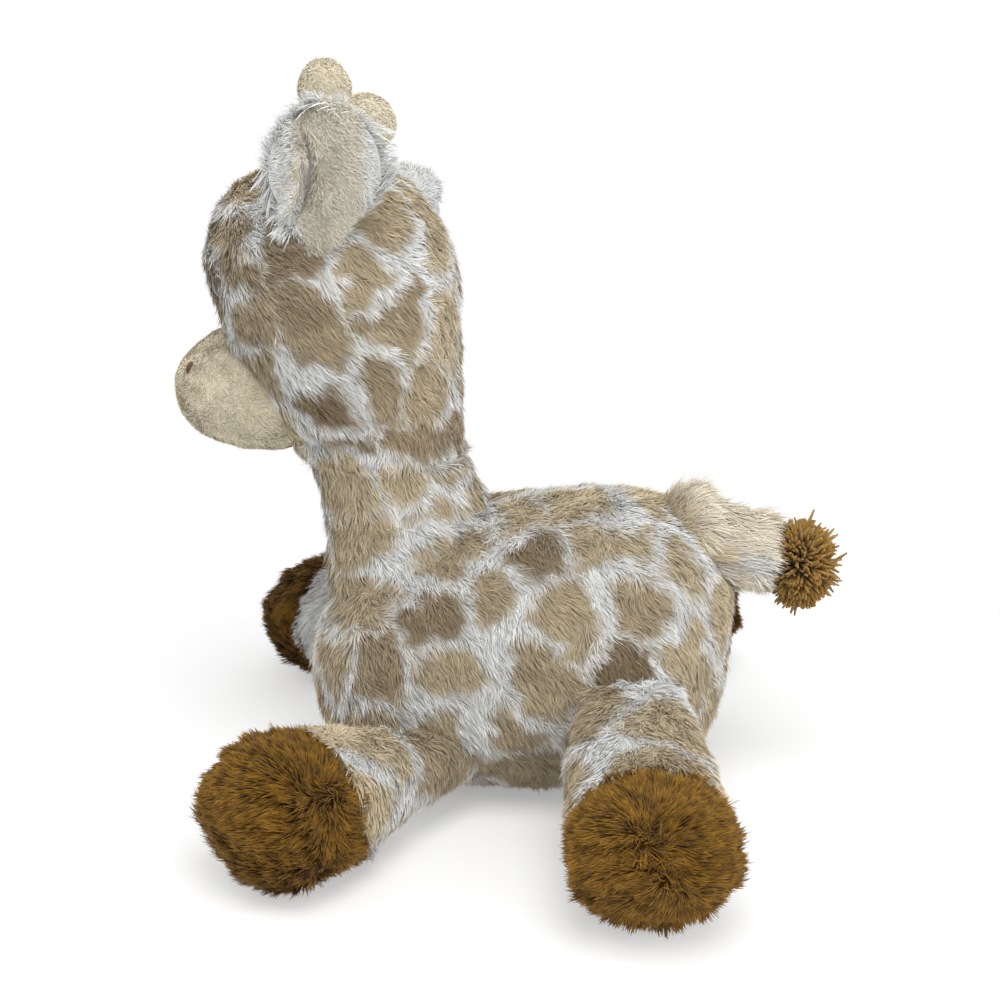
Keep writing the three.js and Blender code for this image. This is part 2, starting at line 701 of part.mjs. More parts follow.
// Horns
const hornParts = horns.map(hornForm);
const hornRoom = (detail, spare) => hornParts.map((part) => swingRoom(
  part.form, detail, horn.root, { low: hornNod, high: hornNod, across: 0 }, spare));
for (const part of hornParts) {
  const holder = addBody(headBody.body, headPivot, part.pivot);
  const turn = new THREE.Quaternion().setFromUnitVectors(new THREE.Vector3(0, 1, 0), part.form.axis);
  const hole = new THREE.CylinderGeometry(horn.mouth, horn.mouth, horn.root, around).applyQuaternion(turn)
    .translate(part.form.start.x, part.form.start.y, part.form.start.z);
  addPiece(holder, `${part.name}_skin`, cut(
    formSolid(part.form, 0, coarse), formSolid(part.form, shortPile, rough), solid(hole)), finishes.minky);
  addPiece(holder, `${part.name}_stuffing`, formSolid(part.form, shortCore, rough), finishes.filling);
}

// Ears
const earParts = ears.map(earForms);
const earBall = (part, grow) => solid(new THREE.SphereGeometry(ear.root + grow, 2 * ballRows, ballRows)
  .translate(part.pivot.x, part.pivot.y, part.pivot.z));
const earRoom = earParts.flatMap((part) => {
  const leaf = cupped(loft(part.back, -lining.thickness - 2 * swingGap, rough), part);
  return [...swept(leaf, part.pivot, part.hinge, -part.inward, part.outward), earBall(part, 2 * swingGap)];
});
for (const part of earParts) {
  const holder = addBody(headBody.body, headPivot, part.pivot);
  const leaf = solid(cupped(loft(part.back, 0, coarse), part)).add(earBall(part, 0));
  const leafRoom = solid(cupped(loft(part.back, -gap, coarse), part));
  addPiece(holder, `${part.name}_back`, leaf, finishes.plush);
  addPiece(holder, `${part.name}_lining`, cut(
    solid(cupped(loft(part.pad, 0, coarse), part)), leafRoom, earBall(part, gap)), finishes.minky);
}

// Eyes, with the room that each takes in the cover and the filling
const eyeRoom = [];
for (const [name, side] of [['left_eye', 1], ['right_eye', -1]]) {
  const angle = Math.PI / 2 + side * eyeShares.turn * 2 * Math.PI;
  const place = onForm(headForm, eyeShares.height * head.height, angle);
  eyeRoom.push(solid(standOn(eyeGeometry(gap), place, gap)));
  eyeRoom.push(solid(standOn(washerGeometry(0, gap), place, gap)));
  addPiece(headBody, name, solid(standOn(eyeGeometry(0), place, gap)), finishes.plastic);
  addPiece(headBody, `${name}_washer`, solid(standOn(
    washerGeometry(eye.stem + gap, 0), place, gap)), finishes.washer);
}

// Head, cut level at the crease
const belowHead = blockBelow(neckTop + gap / 2, whole);
const headTools = [belowHead, ...earRoom, ...eyeRoom];
addPiece(headBody, 'head_skin', cut(
  formSolid(headForm, 0, fine), formSolid(headForm, longPile, coarse),
  ...headTools, ...hornRoom(coarse, 0)), finishes.plush);
addPiece(headBody, 'head_stuffing', cut(
  formSolid(headForm, core, coarse), ...headTools, ...hornRoom(rough, shortPile)), finishes.filling);

// Muzzle, sewn over the front of the head
const headGrown = formSolid(headForm, -gap, fine);
const stitchRoom = [];
for (const [name, side] of [['left_nostril_stitch', 1], ['right_nostril_stitch', -1]]) {
  const angle = Math.PI / 2 + side * nostrilShares.turn * 2 * Math.PI;
  const place = onForm(muzzleForm, nostrilShares.along * muzzle.length, angle);
  const bar = (grow) => standOn(new THREE.CapsuleGeometry(
    nostril.thickness / 2 + grow, nostril.length, 2, 6).rotateX(Math.PI / 2), place, -nostril.sink);
  stitchRoom.push(solid(bar(gap)));
  addPiece(headBody, name, solid(bar(0)), finishes.thread);
}
addPiece(headBody, 'muzzle_skin', cut(
  formSolid(muzzleForm, 0, medium), formSolid(muzzleForm, shortPile, rough), headGrown,
  ...stitchRoom, ...eyeRoom), finishes.minky);
addPiece(headBody, 'muzzle_stuffing', cut(
  formSolid(muzzleForm, shortCore, rough), headGrown, ...stitchRoom), finishes.filling);

export default group;
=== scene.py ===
"""The covers, pile, ears, hooves, tail and stage of a plush giraffe, built over its CAD frame."""

import functools
import math

import bpy
import numpy as np
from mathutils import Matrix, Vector
from mathutils.kdtree import KDTree


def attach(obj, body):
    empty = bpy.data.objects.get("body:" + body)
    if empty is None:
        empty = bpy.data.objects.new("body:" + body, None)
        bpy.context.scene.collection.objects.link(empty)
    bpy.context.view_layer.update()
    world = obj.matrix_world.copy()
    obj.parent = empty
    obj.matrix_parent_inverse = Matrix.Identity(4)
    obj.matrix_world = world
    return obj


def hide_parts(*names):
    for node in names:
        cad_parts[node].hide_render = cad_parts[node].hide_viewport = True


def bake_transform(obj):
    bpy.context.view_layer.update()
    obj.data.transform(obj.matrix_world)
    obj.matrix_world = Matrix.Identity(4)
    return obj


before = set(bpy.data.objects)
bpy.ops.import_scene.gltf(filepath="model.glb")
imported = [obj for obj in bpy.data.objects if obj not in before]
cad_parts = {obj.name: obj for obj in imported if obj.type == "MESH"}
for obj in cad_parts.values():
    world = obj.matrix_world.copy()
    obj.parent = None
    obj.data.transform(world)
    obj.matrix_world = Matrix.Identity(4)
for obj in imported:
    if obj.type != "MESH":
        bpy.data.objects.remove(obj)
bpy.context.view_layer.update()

bl_info = {
    "name": "Plush giraffe",
    "version": (1, 0, 0),
    "blender": (4, 5, 0),
    "location": "3D View > Sidebar > Giraffe",
    "description": "Builds the covers, pile, ears, hooves and tail of a plush giraffe over its CAD frame",
    "category": "Object",
}

# Places and shapes are worked out in millimetres, and turned to metres where a mesh is made
MM = 0.001
UP = np.array([0.0, 0.0, 1.0])
BACK = np.array([0.0, 1.0, 0.0])
AHEAD = -BACK
LEFT = np.array([1.0, 0.0, 0.0])

# A section with a power a little over 2 is slightly squarer than an ellipse
ROUND_POWER = 2.1

# Covers and strands end this far above the floor
COVER_GAP = 0.3
STRAND_GAP = 0.2

# Torso rows: share along, then lowest, middle and highest shares of the height, and half width share
TORSO = {"front": -98, "length": 217, "width": 144, "height": 152, "front_cap": 40, "back_cap": 46}
TORSO_SHARES = [
    (0.0, 0.1, 0.38, 0.66, 0.66),
    (0.1, 0.03, 0.41, 0.76, 0.82),
    (0.25, 0.0, 0.44, 0.87, 0.93),
    (0.45, 0.0, 0.47, 0.98, 0.99),
    (0.65, 0.0, 0.49, 1.0, 1.0),
    (0.82, 0.01, 0.51, 0.99, 0.92),
    (0.93, 0.04, 0.54, 0.97, 0.77),
    (1.0, 0.16, 0.56, 0.94, 0.62),
]

# Neck rows: share of the rise, lean forward and depth as shares of the depth, width share
NECK = {"depth": 92, "width": 86, "rise": 58, "past": 60}
NECK_ROOT = {"along": 0.253, "height": 0.72}
NECK_SHARES = [
    (-1.0, 0.0, 1.0, 1.0),
    (0.0, 0.0, 1.0, 1.0),
    (0.3, 0.01, 0.965, 0.98),
    (0.6, 0.05, 0.92, 0.94),
    (0.85, 0.11, 0.9, 0.93),
    (1.0, 0.145, 0.9, 0.94),
]

# Head rows: share up, then back, middle and front shares of the depth, and half width share
HEAD = {"height": 146, "depth": 126, "width": 124, "top_cap": 56, "back_share": 0.315}
HEAD_SHARES = [
    (0.0, 0.0, 0.33, 0.66, 0.66),
    (0.12, 0.0, 0.37, 0.76, 0.76),
    (0.29, 0.005, 0.43, 0.88, 0.89),
    (0.46, 0.01, 0.47, 0.955, 0.98),
    (0.62, 0.02, 0.5, 1.0, 1.0),
    (0.75, 0.05, 0.51, 0.995, 0.97),
    (1.0, 0.12, 0.53, 0.93, 0.86),
]

# Muzzle rows: share along, half height below and above, and half width, as shares
MUZZLE = {"length": 76, "height": 65, "width": 76, "tip_cap": 44, "forward": 0.55, "at_height": 0.228}
MUZZLE_SHARES = [
    (0.0, 0.96, 0.9, 0.96),
    (0.35, 1.0, 1.0, 1.0),
    (0.7, 0.97, 0.96, 0.97),
    (1.0, 0.86, 0.84, 0.9),
]
NOSTRIL = {"length": 5.5, "thread": 0.55, "along": 0.83, "turn": 0.15}

# How far an eye is set in under the head's face, how far its washer draws it in, and how broad the hollow is
EYE = {
    "radius": 6.5, "dome": 4.5, "rim": 0.8, "stem": 2.0, "stem_length": 13, "height": 0.585, "turn": 0.062,
    "set_in": 2.6, "drawn": 4.6, "hollow": 10,
}
WASHER = {"radius": 7.5, "thickness": 1.6, "inside": 3.4, "clearance": 0.15, "edge": 0.4}

# Ear rows: share up the ear, half width share, half thickness share
EAR = {"length": 68, "width": 53, "thickness": 8, "cup": 9, "tip_cap": 27}
EAR_ROOT = {"across": 0.8, "forward": 0.45, "height": 0.73}
EAR_SHARES = [
    (0.0, 0.34, 1.0),
    (0.18, 0.66, 1.0),
    (0.42, 0.98, 1.0),
    (0.62, 1.0, 0.95),
    (0.82, 0.88, 0.9),
    (1.0, 0.6, 0.8),
]
LINING = {"thickness": 2.4, "margin": 0.86}

# Where an ear's fold lies, as shares of the ear: its place across at the fold's middle, how strongly it
# curves, and the middle's place up
FOLD = {"across": 0.27, "curve": 2.2, "middle": 0.57}

# The fringe is a share of its full length, and dense is its number of strands to a square millimetre
EARS = {
    "left_ear": {"side": 1, "lean": 4, "sweep": 2, "face": 0, "fringe": 1.0, "dense": 15.0},
    "right_ear": {"side": -1, "lean": 64, "sweep": 39, "face": 24, "fringe": 0.7, "dense": 6.0},
}

# Horn rows: share along, share of the way from the root's radius to the end's
HORN = {"root": 11, "end": 15.5, "end_cap": 16, "across": 0.3, "height": 0.935}
HORN_SHARES = [(0.0, 0.0), (0.25, 0.0), (0.5, 0.35), (0.72, 1.0), (1.0, 0.9)]
HORNS = {
    "left_horn": {"side": 1, "forward": 0.44, "lean": 24, "length": 50},
    "right_horn": {"side": -1, "forward": 0.52, "lean": -2, "length": 59},
}

# The far ear and horn differ a little from their solids
FAR_EAR = {"size_share": 0.8, "back": 4.0, "down": 5.0}
FAR_HORN = {"slimmer": 3.0, "ahead": 2.6, "longer": 6.0}

# A hoof's middle lies a little lower in the scene, and below the height of its sole its seam is drawn back
HOOF = {"radius": 36.5, "end_cap": 31, "overlap": 12, "middle": 34.8, "sole": 36, "most_slant": 32}

# After a pair's place: how much a seam slants, how tall a hoof is, how far its sole is drawn back under
# it, and how much wider a leg is than its solid, ahead and behind
LEG_PAIRS = {
    "front": {"root": 17, "along": 0.36, "across": 0.76, "height": 0.2, "swell_power": 1.0,
              "slant": 0.5, "tall": 1.02, "sole_back": 0.1, "wider": (0.05, 0.05)},
    "hind": {"root": 27, "along": 0.755, "across": 0.62, "height": 0.4, "swell_power": 0.9,
             "slant": 0.1, "tall": 0.96, "sole_back": 0.5, "wider": (0.13, 0.05)},
}

# Leg rows: share along, shares of the way from the root's height and radius to the hoof's
LEG_SHARES = [
    (0.0, 0.0, 0.0),
    (0.12, 0.0, 0.0),
    (0.3, 0.28, 0.22),
    (0.5, 0.72, 0.62),
    (0.66, 1.0, 0.93),
    (0.8, 1.0, 1.0),
    (1.0, 1.0, 0.92),
]

# A thigh is pressed flat: above its top it loses the flat share of its height, and less of it further out
THIGH = {"top": 71, "flat_share": 0.7, "long": 90}

# How far the thread pulls the cloth in at the seam of a hoof
SEAM_PINCH = 1.5

# Late is how much further out than in the solids a hoof's seam lies
LEGS = {
    "front_left": {"pair": "front", "side": 1, "heading": -42, "reach": 101.5, "late": -6},
    "front_right": {"pair": "front", "side": -1, "heading": -51, "reach": 114.5, "late": 4},
    "hind_left": {"pair": "hind", "side": 1, "heading": 6, "reach": 114.5, "late": -4},
    "hind_right": {"pair": "hind", "side": -1, "heading": 15, "reach": 106.5, "late": 0},
}

# Tail rows: share along, share of the way from the root's radius to the end's, share of the drop
TAIL = {"length": 43, "root": 23, "end": 17, "drop": 8, "along": 0.9, "height": 0.835}
TAIL_SHARES = [
    (0.0, 0.0, 0.0),
    (0.2, 0.0, 0.0),
    (0.36, 0.0, 0.04),
    (0.55, 0.6, 0.65),
    (0.75, 1.0, 1.0),
    (1.0, 1.0, 1.0),
]

# Its yarn starts at a share of the radius, and is thinner there and at its cut end
POMPOM = {
    "radius": 20, "sink": 0.28, "drop": 4, "strands": 1000, "start_share": 0.28, "shift": (0, -4.5, -1.0),
}
YARN_SHARES = (0.7, 0.9, 1, 1.05, 1.15, 0.6)

# The toy's weight presses its belly and legs flat by this much
PRESSED = 0.5

# Middles of the tan patches on the side that was measured: across, along, up, how dark each is, and the
# number of its patch, because a long patch has two
HEAD_PATCHES = [
    (26, -118, 299, 0.3, 1), (33, -124, 286, 0.8, 2), (45, -121, 268, 0.8, 2), (51, -94, 285, 0.8, 3),
    (57, -91, 275, 0.9, 3), (61, -86, 254, 0.8, 4), (59, -82, 230, 0.7, 4), (56, -60, 270, 0.6, 5),
    (55, -54, 263, 0.6, 5), (35, -51, 293, 0.5, 6), (44, -52, 285, 0.5, 6), (7, -36, 291, 0.5, 7),
    (26, -30, 272, 0.5, 7), (53, -47, 255, 0.8, 8), (50, -42, 238, 0.7, 8), (23, -23, 248, 0.4, 9),
    (23, -22, 231, 0.4, 9), (47, -118, 244, 0.7, 10), (31, -134, 255, 0.9, 12), (52, -77, 204, 1.0, 13),
    (51, -74, 198, 1.0, 13), (54, -54, 218, 0.8, 14), (51, -52, 207, 0.8, 14), (37, -31, 210, 0.6, 15),
    (45, -76, 185, 0.9, 16), (39, -38, 181, 0.8, 17), (23, -23, 178, 0.8, 17), (43, -112, 218, 0.6, 19),
    (31, -101, 185, 0.4, 20),
]
NECK_PATCHES = [
    (39, -44, 165, 0.4, 18), (24, -22, 166, 0.7, 18), (38, -76, 169, 0.4, 21), (35, -75, 157, 0.4, 21),
    (34, -27, 152, 0.5, 22), (20, -13, 151, 0.5, 22), (39, -60, 139, 0.5, 23), (34, -71, 130, 0.5, 23),
    (39, -28, 126, 0.6, 25), (28, -14, 134, 0.6, 25), (40, -59, 111, 0.5, 24), (36, -67, 102, 0.5, 24),
]
TORSO_PATCHES = [
    (45, 19, 136, 0.9, 26), (60, 0, 115, 0.6, 27), (58, -32, 105, 0.9, 28), (65, 27, 108, 0.6, 29),
    (67, 37, 104, 0.6, 29), (47, -78, 76, 0.5, 30), (62, -56, 79, 0.8, 31), (64, -57, 67, 0.7, 31),
    (68, -25, 77, 0.6, 32), (69, -12, 79, 0.6, 32), (70, 19, 91, 0.7, 33), (72, 24, 75, 0.6, 33),
    (39, 46, 140, 0.5, 34), (42, 64, 138, 0.5, 34), (58, 67, 118, 0.7, 35), (62, 72, 108, 0.7, 35),
    (69, 62, 85, 1.0, 36), (57, 91, 93, 0.5, 37), (52, 95, 74, 0.5, 37), (41, 89, 128, 0.5, 38),
    (31, 92, 135, 0.5, 38), (70, 5, 55, 0.7, 39), (62, -24, 48, 0.6, 40), (60, -57, 51, 0.7, 41),
    (68, -10, 27, 0.7, 42), (62, 14, 23, 0.7, 42), (20, 33, 149, 0.2, 43), (16, 45, 149, 0.3, 43),
    (8, 71, 150, 0.2, 44), (24, 8, 146, 0.3, 45), (20, 97, 138, 0.9, 46),
]
LEG_PATCHES = {
    "front": [(111, -58, 66, 0.2, 1), (100, -46, 62, 0.3, 1), (134, -52, 48, 0.2, 2), (78, -19, 42, 0.7, 3),
              (120, -90, 40, 0.3, 4), (104, -20, 4, 0.3, 5), (92, -68, 20, 0.3, 6)],
    "hind": [(92, 48, 70, 0.6, 1), (91, 41, 56, 0.4, 1), (106, 77, 75, 0.4, 2), (107, 89, 71, 0.4, 2),
             (140, 76, 72, 0.5, 3), (141, 90, 70, 0.5, 3), (120, 45, 42, 0.4, 4), (120, 112, 45, 0.3, 5)],
}

# The shag parts along a line round each hoof: how far back from its end, and the turn round it in degrees
CROWNS = {"front": [(36, 33), (36, -7), (34, -52)], "hind": [(14, 107), (5, 92), (2, 50)]}

# How far under the face of its solid the ground of each cloth lies, which leaves room for its pile
INSET = {"plush": 3.6, "tail": 3.0, "muzzle": 1.8, "horn": 1.5, "leaf": 1.6, "lining": 0.6, "shag": 6.0}

# Hollows and swells of the stuffing: where they are, along the back and the tail or up the nape and the
# chin, how far they reach outwards, and how broad they are
BACK_DIPS = [(2, -3.4, 20), (80, -2.0, 14)]
NAPE_FOLDS = [(171, -1.2, 5), (156, -1.0, 5), (118, 3.5, 13)]
CHIN_FOLDS = [(180, -2.6, 4), (191, 1.6, 6)]
FOREHEAD = {"middle": (8, -122, 293), "swell": 4.5, "breadth": 26}
TAIL_SWELLS = [(34, 6.0, 29), (-13, 3.5, 9)]

# Coat: how far apart the patches that weren't measured lie, how far a patch reaches and how softly it ends
# there, half of the white line between two, how much that varies, how softly the line ends, and how far the
# outlines waver in long and in short waves
COAT = {
    "apart": 35, "reach": 29, "reach_soft": 8.0, "line": 0.6, "line_varies": 2.2, "line_soft": 5.2,
    "long_waver": 2.4, "short_waver": 1.3,
}

# Piles: strands to a square millimetre, a strand's width, how far its tip rises off the cloth and runs
# along it as shares of its length, how broad the locks are and how far tips are drawn to them, how much
# single strands stray and the whole pile wanders, and the pairs of points along a strand
SHORT_PILE = {"width": 0.4, "rise": 0.32, "run": 0.8, "clump": 1.6, "pull": 0.35, "stray": 0.4}
PILES = {
    "plush": {"density": 1.6, "width": 0.45},
    "head": {"density": 1.65, "width": 0.43},
    "leg": {"density": 1.6, "width": 0.45, "wander": 0.3},
    "leaf": {"density": 1.8, "width": 0.45, "rise": 0.22},
    "fringe": {"width": 0.55, "rise": 0.3, "run": 0.95, "clump": 3.2, "pull": 0.65, "stray": 0.1, "pairs": 3},
    "minky": {"density": 3.0, **SHORT_PILE},
    "lining": {"density": 2.8, **SHORT_PILE},
    "shag": {"density": 2.4, "width": 0.42, "rise": 0.4, "run": 0.62, "clump": 2.8, "pull": 0.42,
             "stray": 0.22, "wander": 0.4, "pairs": 3},
    "tail": {"density": 2.4, "width": 0.45, "rise": 0.24, "run": 0.95, "clump": 3.0, "pairs": 3},
}

# The ways that the piles run where they are combed one way
BODY_WAY = 0.55 * BACK - UP
MUZZLE_WAY = BACK - 0.4 * UP
TAIL_WAY = BACK - 0.22 * UP

# Lamps: name, place, breadth and power. The stage's sizes and places are in metres
LAMPS = [
    ("key_lamp", (0.7, 0.2, 1.5), 1.1, 16.0),
    ("side_lamp", (1.3, 1.0, 0.9), 1.2, 8.5),
    ("front_lamp", (-0.5, -1.4, 1.1), 1.0, 5.0),
]
LAMP_TARGET = (0.0, 0.0, 0.15)
FLOOR_HALF = 6.0

# The camera's film and lens are in millimetres
CAMERA = {
    "place": (0.8151, 0.0570, 0.3783), "target": (0, 0, 0.144), "sensor": 36.0, "lens": 61.2, "near": 0.02,
}


def linear(code):
    """Turns an sRGB hex colour to linear red, green and blue."""
    parts = [int(code[i : i + 2], 16) / 255 for i in (1, 3, 5)]
    return tuple(v / 12.92 if v <= 0.04045 else ((v + 0.055) / 1.055) ** 2.4 for v in parts)


def length_property(name, description, millimetres):
    return bpy.props.FloatProperty(
        name=name, description=description, default=millimetres * MM, min=0, unit="LENGTH", subtype="DISTANCE"
    )


def colour_property(name, description, code):
    return bpy.props.FloatVectorProperty(
        name=name, description=description, default=linear(code), size=3, min=0, max=1, subtype="COLOR"
    )


class GiraffeSizes(bpy.types.PropertyGroup):
    """Lengths of the giraffe's pile and yarn"""

    body_pile: length_property("Body pile", "Length of the long pile on the torso, neck, head and legs", 8.0)
    hoof_pile: length_property("Hoof pile", "Length of the shaggy pile on the hooves", 10.5)
    fringe: length_property("Ear fringe", "Length of the long pile round the ears", 14.0)
    tail_pile: length_property("Tail pile", "Length of the pile on the tail", 13.5)
    short_pile: length_property("Short pile", "Length of the pile on the muzzle and horns", 2.4)
    lining_pile: length_property("Lining pile", "Length of the pile on the ear linings", 4.5)
    yarn: length_property("Yarn", "Thickness of a strand of the pom-pom's yarn", 1.5)


class GiraffeColours(bpy.types.PropertyGroup):
    """Colours of the giraffe's cloth, yarn and eyes"""

    white: colour_property("White", "Pile between the patches", "#EFF0EF")
    tan: colour_property("Tan", "Pale patches", "#DFCEAC")
    brown: colour_property("Brown", "Dark patches", "#8F7A5C")
    cream: colour_property("Cream", "Short pile of the muzzle, horns and ear linings", "#E9DFC6")
    tail: colour_property("Tail", "Pile of the tail", "#F6ECD8")
    hoof: colour_property("Hoof", "Tips of the shaggy pile", "#9C7120")
    # Painted shade: the dark colour at the roots of the shaggy pile
    hoof_root_shade: colour_property("Hoof root", "Roots of the shaggy pile", "#52330B")
    yarn: colour_property("Yarn", "Yarn of the pom-pom", "#987538")
    eye: colour_property("Eye", "Plastic of the eyes", "#1A110C")


def between(rows, place, column):
    """A smooth value between the rows of a table, whose first column is the place."""
    table = np.asarray(rows, float)
    x, y = table[:, 0], table[:, column]
    last = len(x) - 1
    at = np.clip(place, x[0], x[last])
    i = np.clip(np.searchsorted(x, at, side="left") - 1, 0, last - 1)
    before, after = np.maximum(i - 1, 0), np.minimum(i + 2, last)
    step = x[i + 1] - x[i]
    t = (at - x[i]) / step
    m0 = (y[i + 1] - y[before]) / (x[i + 1] - x[before]) * step
    m1 = (y[after] - y[i]) / (x[after] - x[i]) * step
    t2, t3 = t * t, t * t * t
    start, end = (2 * t3 - 3 * t2 + 1) * y[i], (3 * t2 - 2 * t3) * y[i + 1]
    return start + (t3 - 2 * t2 + t) * m0 + end + (t3 - t2) * m1


def opening(place, cap, power):
    """How far a rounded end has opened, from 0 at its pole to 1 where it ends."""
    if cap <= 0:
        return np.ones_like(place)
    into = np.clip((cap - place) / cap, 0, 1)
    return (1 - into**power) ** (1 / power)


def unit(vectors):
    return vectors / np.maximum(np.linalg.norm(vectors, axis=-1, keepdims=True), 1e-9)


def turned(vector, axis, degrees):
    """A vector turned about an axis."""
    a = math.radians(degrees)
    axis = unit(np.asarray(axis, float))
    v = np.asarray(vector, float)
    return v * math.cos(a) + np.cross(axis, v) * math.sin(a) + axis * np.dot(axis, v) * (1 - math.cos(a))


class Form:
    """A stuffed form that runs from start along its axis.

    Its rows hold the place along it, then low, middle and high across its up direction, and the half width.
    """

    def __init__(self, start, axis, up, length, rows, start_cap=0, end_cap=0, end_power=2.2,
                 low_power=ROUND_POWER):
        self.start, self.axis, self.up = (np.asarray(v, float) for v in (start, axis, up))
        self.across = np.cross(self.up, self.axis)
        self.length, self.rows = length, rows
        self.start_cap, self.end_cap, self.end_power = start_cap, end_cap, end_power
        self.low_power = low_power

    def girths(self, at, inset, length):
        """The middle, and how far the form reaches below, above and to each side of it."""
        place = at - inset
        start_cap = self.start_cap - inset if self.start_cap else 0
        end_cap = self.end_cap - inset if self.end_cap else 0
        opened = opening(place, start_cap, 2) * opening(length - place, end_cap, self.end_power)
        middle = between(self.rows, at, 2)
        low = np.maximum(middle - between(self.rows, at, 1) - inset, 0) * opened
        high = np.maximum(between(self.rows, at, 3) - inset - middle, 0) * opened
        half = np.maximum(between(self.rows, at, 4) - inset, 0) * opened
        return middle, low, high, half

    def point(self, inset, place, angle):
        at = np.asarray(place, float) + inset
        middle, low, high, half = self.girths(at, inset, self.length - 2 * inset)
        cos, sin = np.cos(angle), np.sin(angle)
        power = np.where(sin < 0, self.low_power, ROUND_POWER)
        side = half * np.sign(cos) * np.abs(cos) ** (2 / power)
        rise = np.where(sin < 0, low, high) * np.sign(sin) * np.abs(sin) ** (2 / power)
        return (
            self.start
            + at[..., None] * self.axis
            + (middle + rise)[..., None] * self.up
            + side[..., None] * self.across
        )

    def level(self, points, inset=0):
        """How deep points lie: below 1 inside the form, 1 on it and more outside."""
        rel = points - self.start
        at, rise, side = rel @ self.axis, rel @ self.up, rel @ self.across
        middle, low, high, half = self.girths(at, inset, self.length - 2 * inset)
        rise = rise - middle
        tall = np.where(rise < 0, low, high)
        deep = (np.abs(side) / np.maximum(half, 0.01)) ** ROUND_POWER
        deep = deep + (np.abs(rise) / np.maximum(tall, 0.01)) ** ROUND_POWER
        past_its_ends = (at < inset) | (at > self.length - inset)
        return np.where(past_its_ends, 9.0, deep)


TORSO_FORM = Form(
    (0, TORSO["front"], 0), BACK, UP, TORSO["length"],
    [(a * TORSO["length"], low * TORSO["height"] - PRESSED, mid * TORSO["height"], high * TORSO["height"],
      half * TORSO["width"] / 2) for a, low, mid, high, half in TORSO_SHARES],
    TORSO["front_cap"], TORSO["back_cap"], low_power=2.7,
)
NECK_PIVOT = np.array([
    0, TORSO["front"] + NECK_ROOT["along"] * TORSO["length"], NECK_ROOT["height"] * TORSO["height"],
])
NECK_TOP = NECK_PIVOT[2] + NECK["rise"]
NECK_TOP_MIDDLE = NECK_PIVOT[1] - NECK_SHARES[-1][1] * NECK["depth"]
NECK_FORM = Form(
    (0, NECK_PIVOT[1], NECK_PIVOT[2] - NECK["depth"] / 2), UP, AHEAD,
    NECK["depth"] / 2 + NECK["rise"] + NECK["past"],
    [(NECK["depth"] / 2 + share * (NECK["depth"] / 2 if share < 0 else NECK["rise"]),
      (lean - depth / 2) * NECK["depth"], lean * NECK["depth"], (lean + depth / 2) * NECK["depth"],
      width * NECK["width"] / 2) for share, lean, depth, width in NECK_SHARES],
    NECK["depth"] / 2,
)
HEAD_BACK = NECK_TOP_MIDDLE + HEAD["back_share"] * HEAD["depth"]
HEAD_FORM = Form(
    (0, HEAD_BACK, NECK_TOP), UP, AHEAD, HEAD["height"],
    [(share * HEAD["height"], low * HEAD["depth"], mid * HEAD["depth"], high * HEAD["depth"],
      half * HEAD["width"] / 2) for share, low, mid, high, half in HEAD_SHARES],
    0, HEAD["top_cap"], end_power=2.4,
)


def in_head(across, forward, height):
    return np.array([
        across * HEAD["width"] / 2, HEAD_BACK - forward * HEAD["depth"], NECK_TOP + height * HEAD["height"],
    ])


MUZZLE_FORM = Form(
    in_head(0, MUZZLE["forward"], MUZZLE["at_height"]), AHEAD, UP, MUZZLE["length"],
    [(a * MUZZLE["length"], -low * MUZZLE["height"] / 2, 0, high * MUZZLE["height"] / 2,
      half * MUZZLE["width"] / 2) for a, low, high, half in MUZZLE_SHARES],
    MUZZLE["tip_cap"] / 2, MUZZLE["tip_cap"],
)


def leg_form(leg):
    """A leg's form, its pivot and the place of the seam where the hoof starts."""
    pair = LEG_PAIRS[leg["pair"]]
    pivot = np.array([
        leg["side"] * pair["across"] * TORSO["width"] / 2,
        TORSO["front"] + pair["along"] * TORSO["length"],
        pair["height"] * TORSO["height"],
    ])
    heading = math.radians(leg["heading"])
    axis = np.array([leg["side"] * math.cos(heading), math.sin(heading), 0])
    length = pair["root"] + leg["reach"] + HOOF["radius"]
    rows = []
    for along, rise, swell in LEG_SHARES:
        middle = pivot[2] + (HOOF["radius"] - PRESSED - pivot[2]) * rise
        radius = pair["root"] + (HOOF["radius"] - pair["root"]) * swell ** pair["swell_power"]
        rows.append((along * length, middle - radius, middle, middle + radius, radius))
    start = (pivot - pair["root"] * axis) * (1, 1, 0)
    form = Form(start, axis, UP, length, rows, pair["root"], HOOF["end_cap"])
    return form, pivot, pair["root"] + leg["reach"] - HOOF["overlap"]


LEG_FORMS = {name: leg_form(leg) for name, leg in LEGS.items()}


def tail_rows():
    rows = []
    for along, thin, drop in TAIL_SHARES:
        at = along * (TAIL["root"] + TAIL["length"])
        radius = TAIL["root"] + (TAIL["end"] - TAIL["root"]) * thin
        middle = -drop * TAIL["drop"]
        rows.append((at, middle - radius, middle, middle + radius, radius))
    return rows


TAIL_PIVOT = np.array([
    0, TORSO["front"] + TAIL["along"] * TORSO["length"], TAIL["height"] * TORSO["height"],
])
TAIL_FORM = Form(
    TAIL_PIVOT - TAIL["root"] * BACK, BACK, UP, TAIL["root"] + TAIL["length"], tail_rows(),
    TAIL["root"], TAIL["end"], end_power=2,
)
POMPOM_PIVOT = TAIL_FORM.start + BACK * (TAIL_FORM.length - TAIL["end"]) - UP * TAIL["drop"]
POMPOM_REACH = TAIL["end"] + POMPOM["radius"] * (1 - POMPOM["sink"])
POMPOM_MIDDLE = POMPOM_PIVOT + BACK * POMPOM_REACH - UP * POMPOM["drop"]


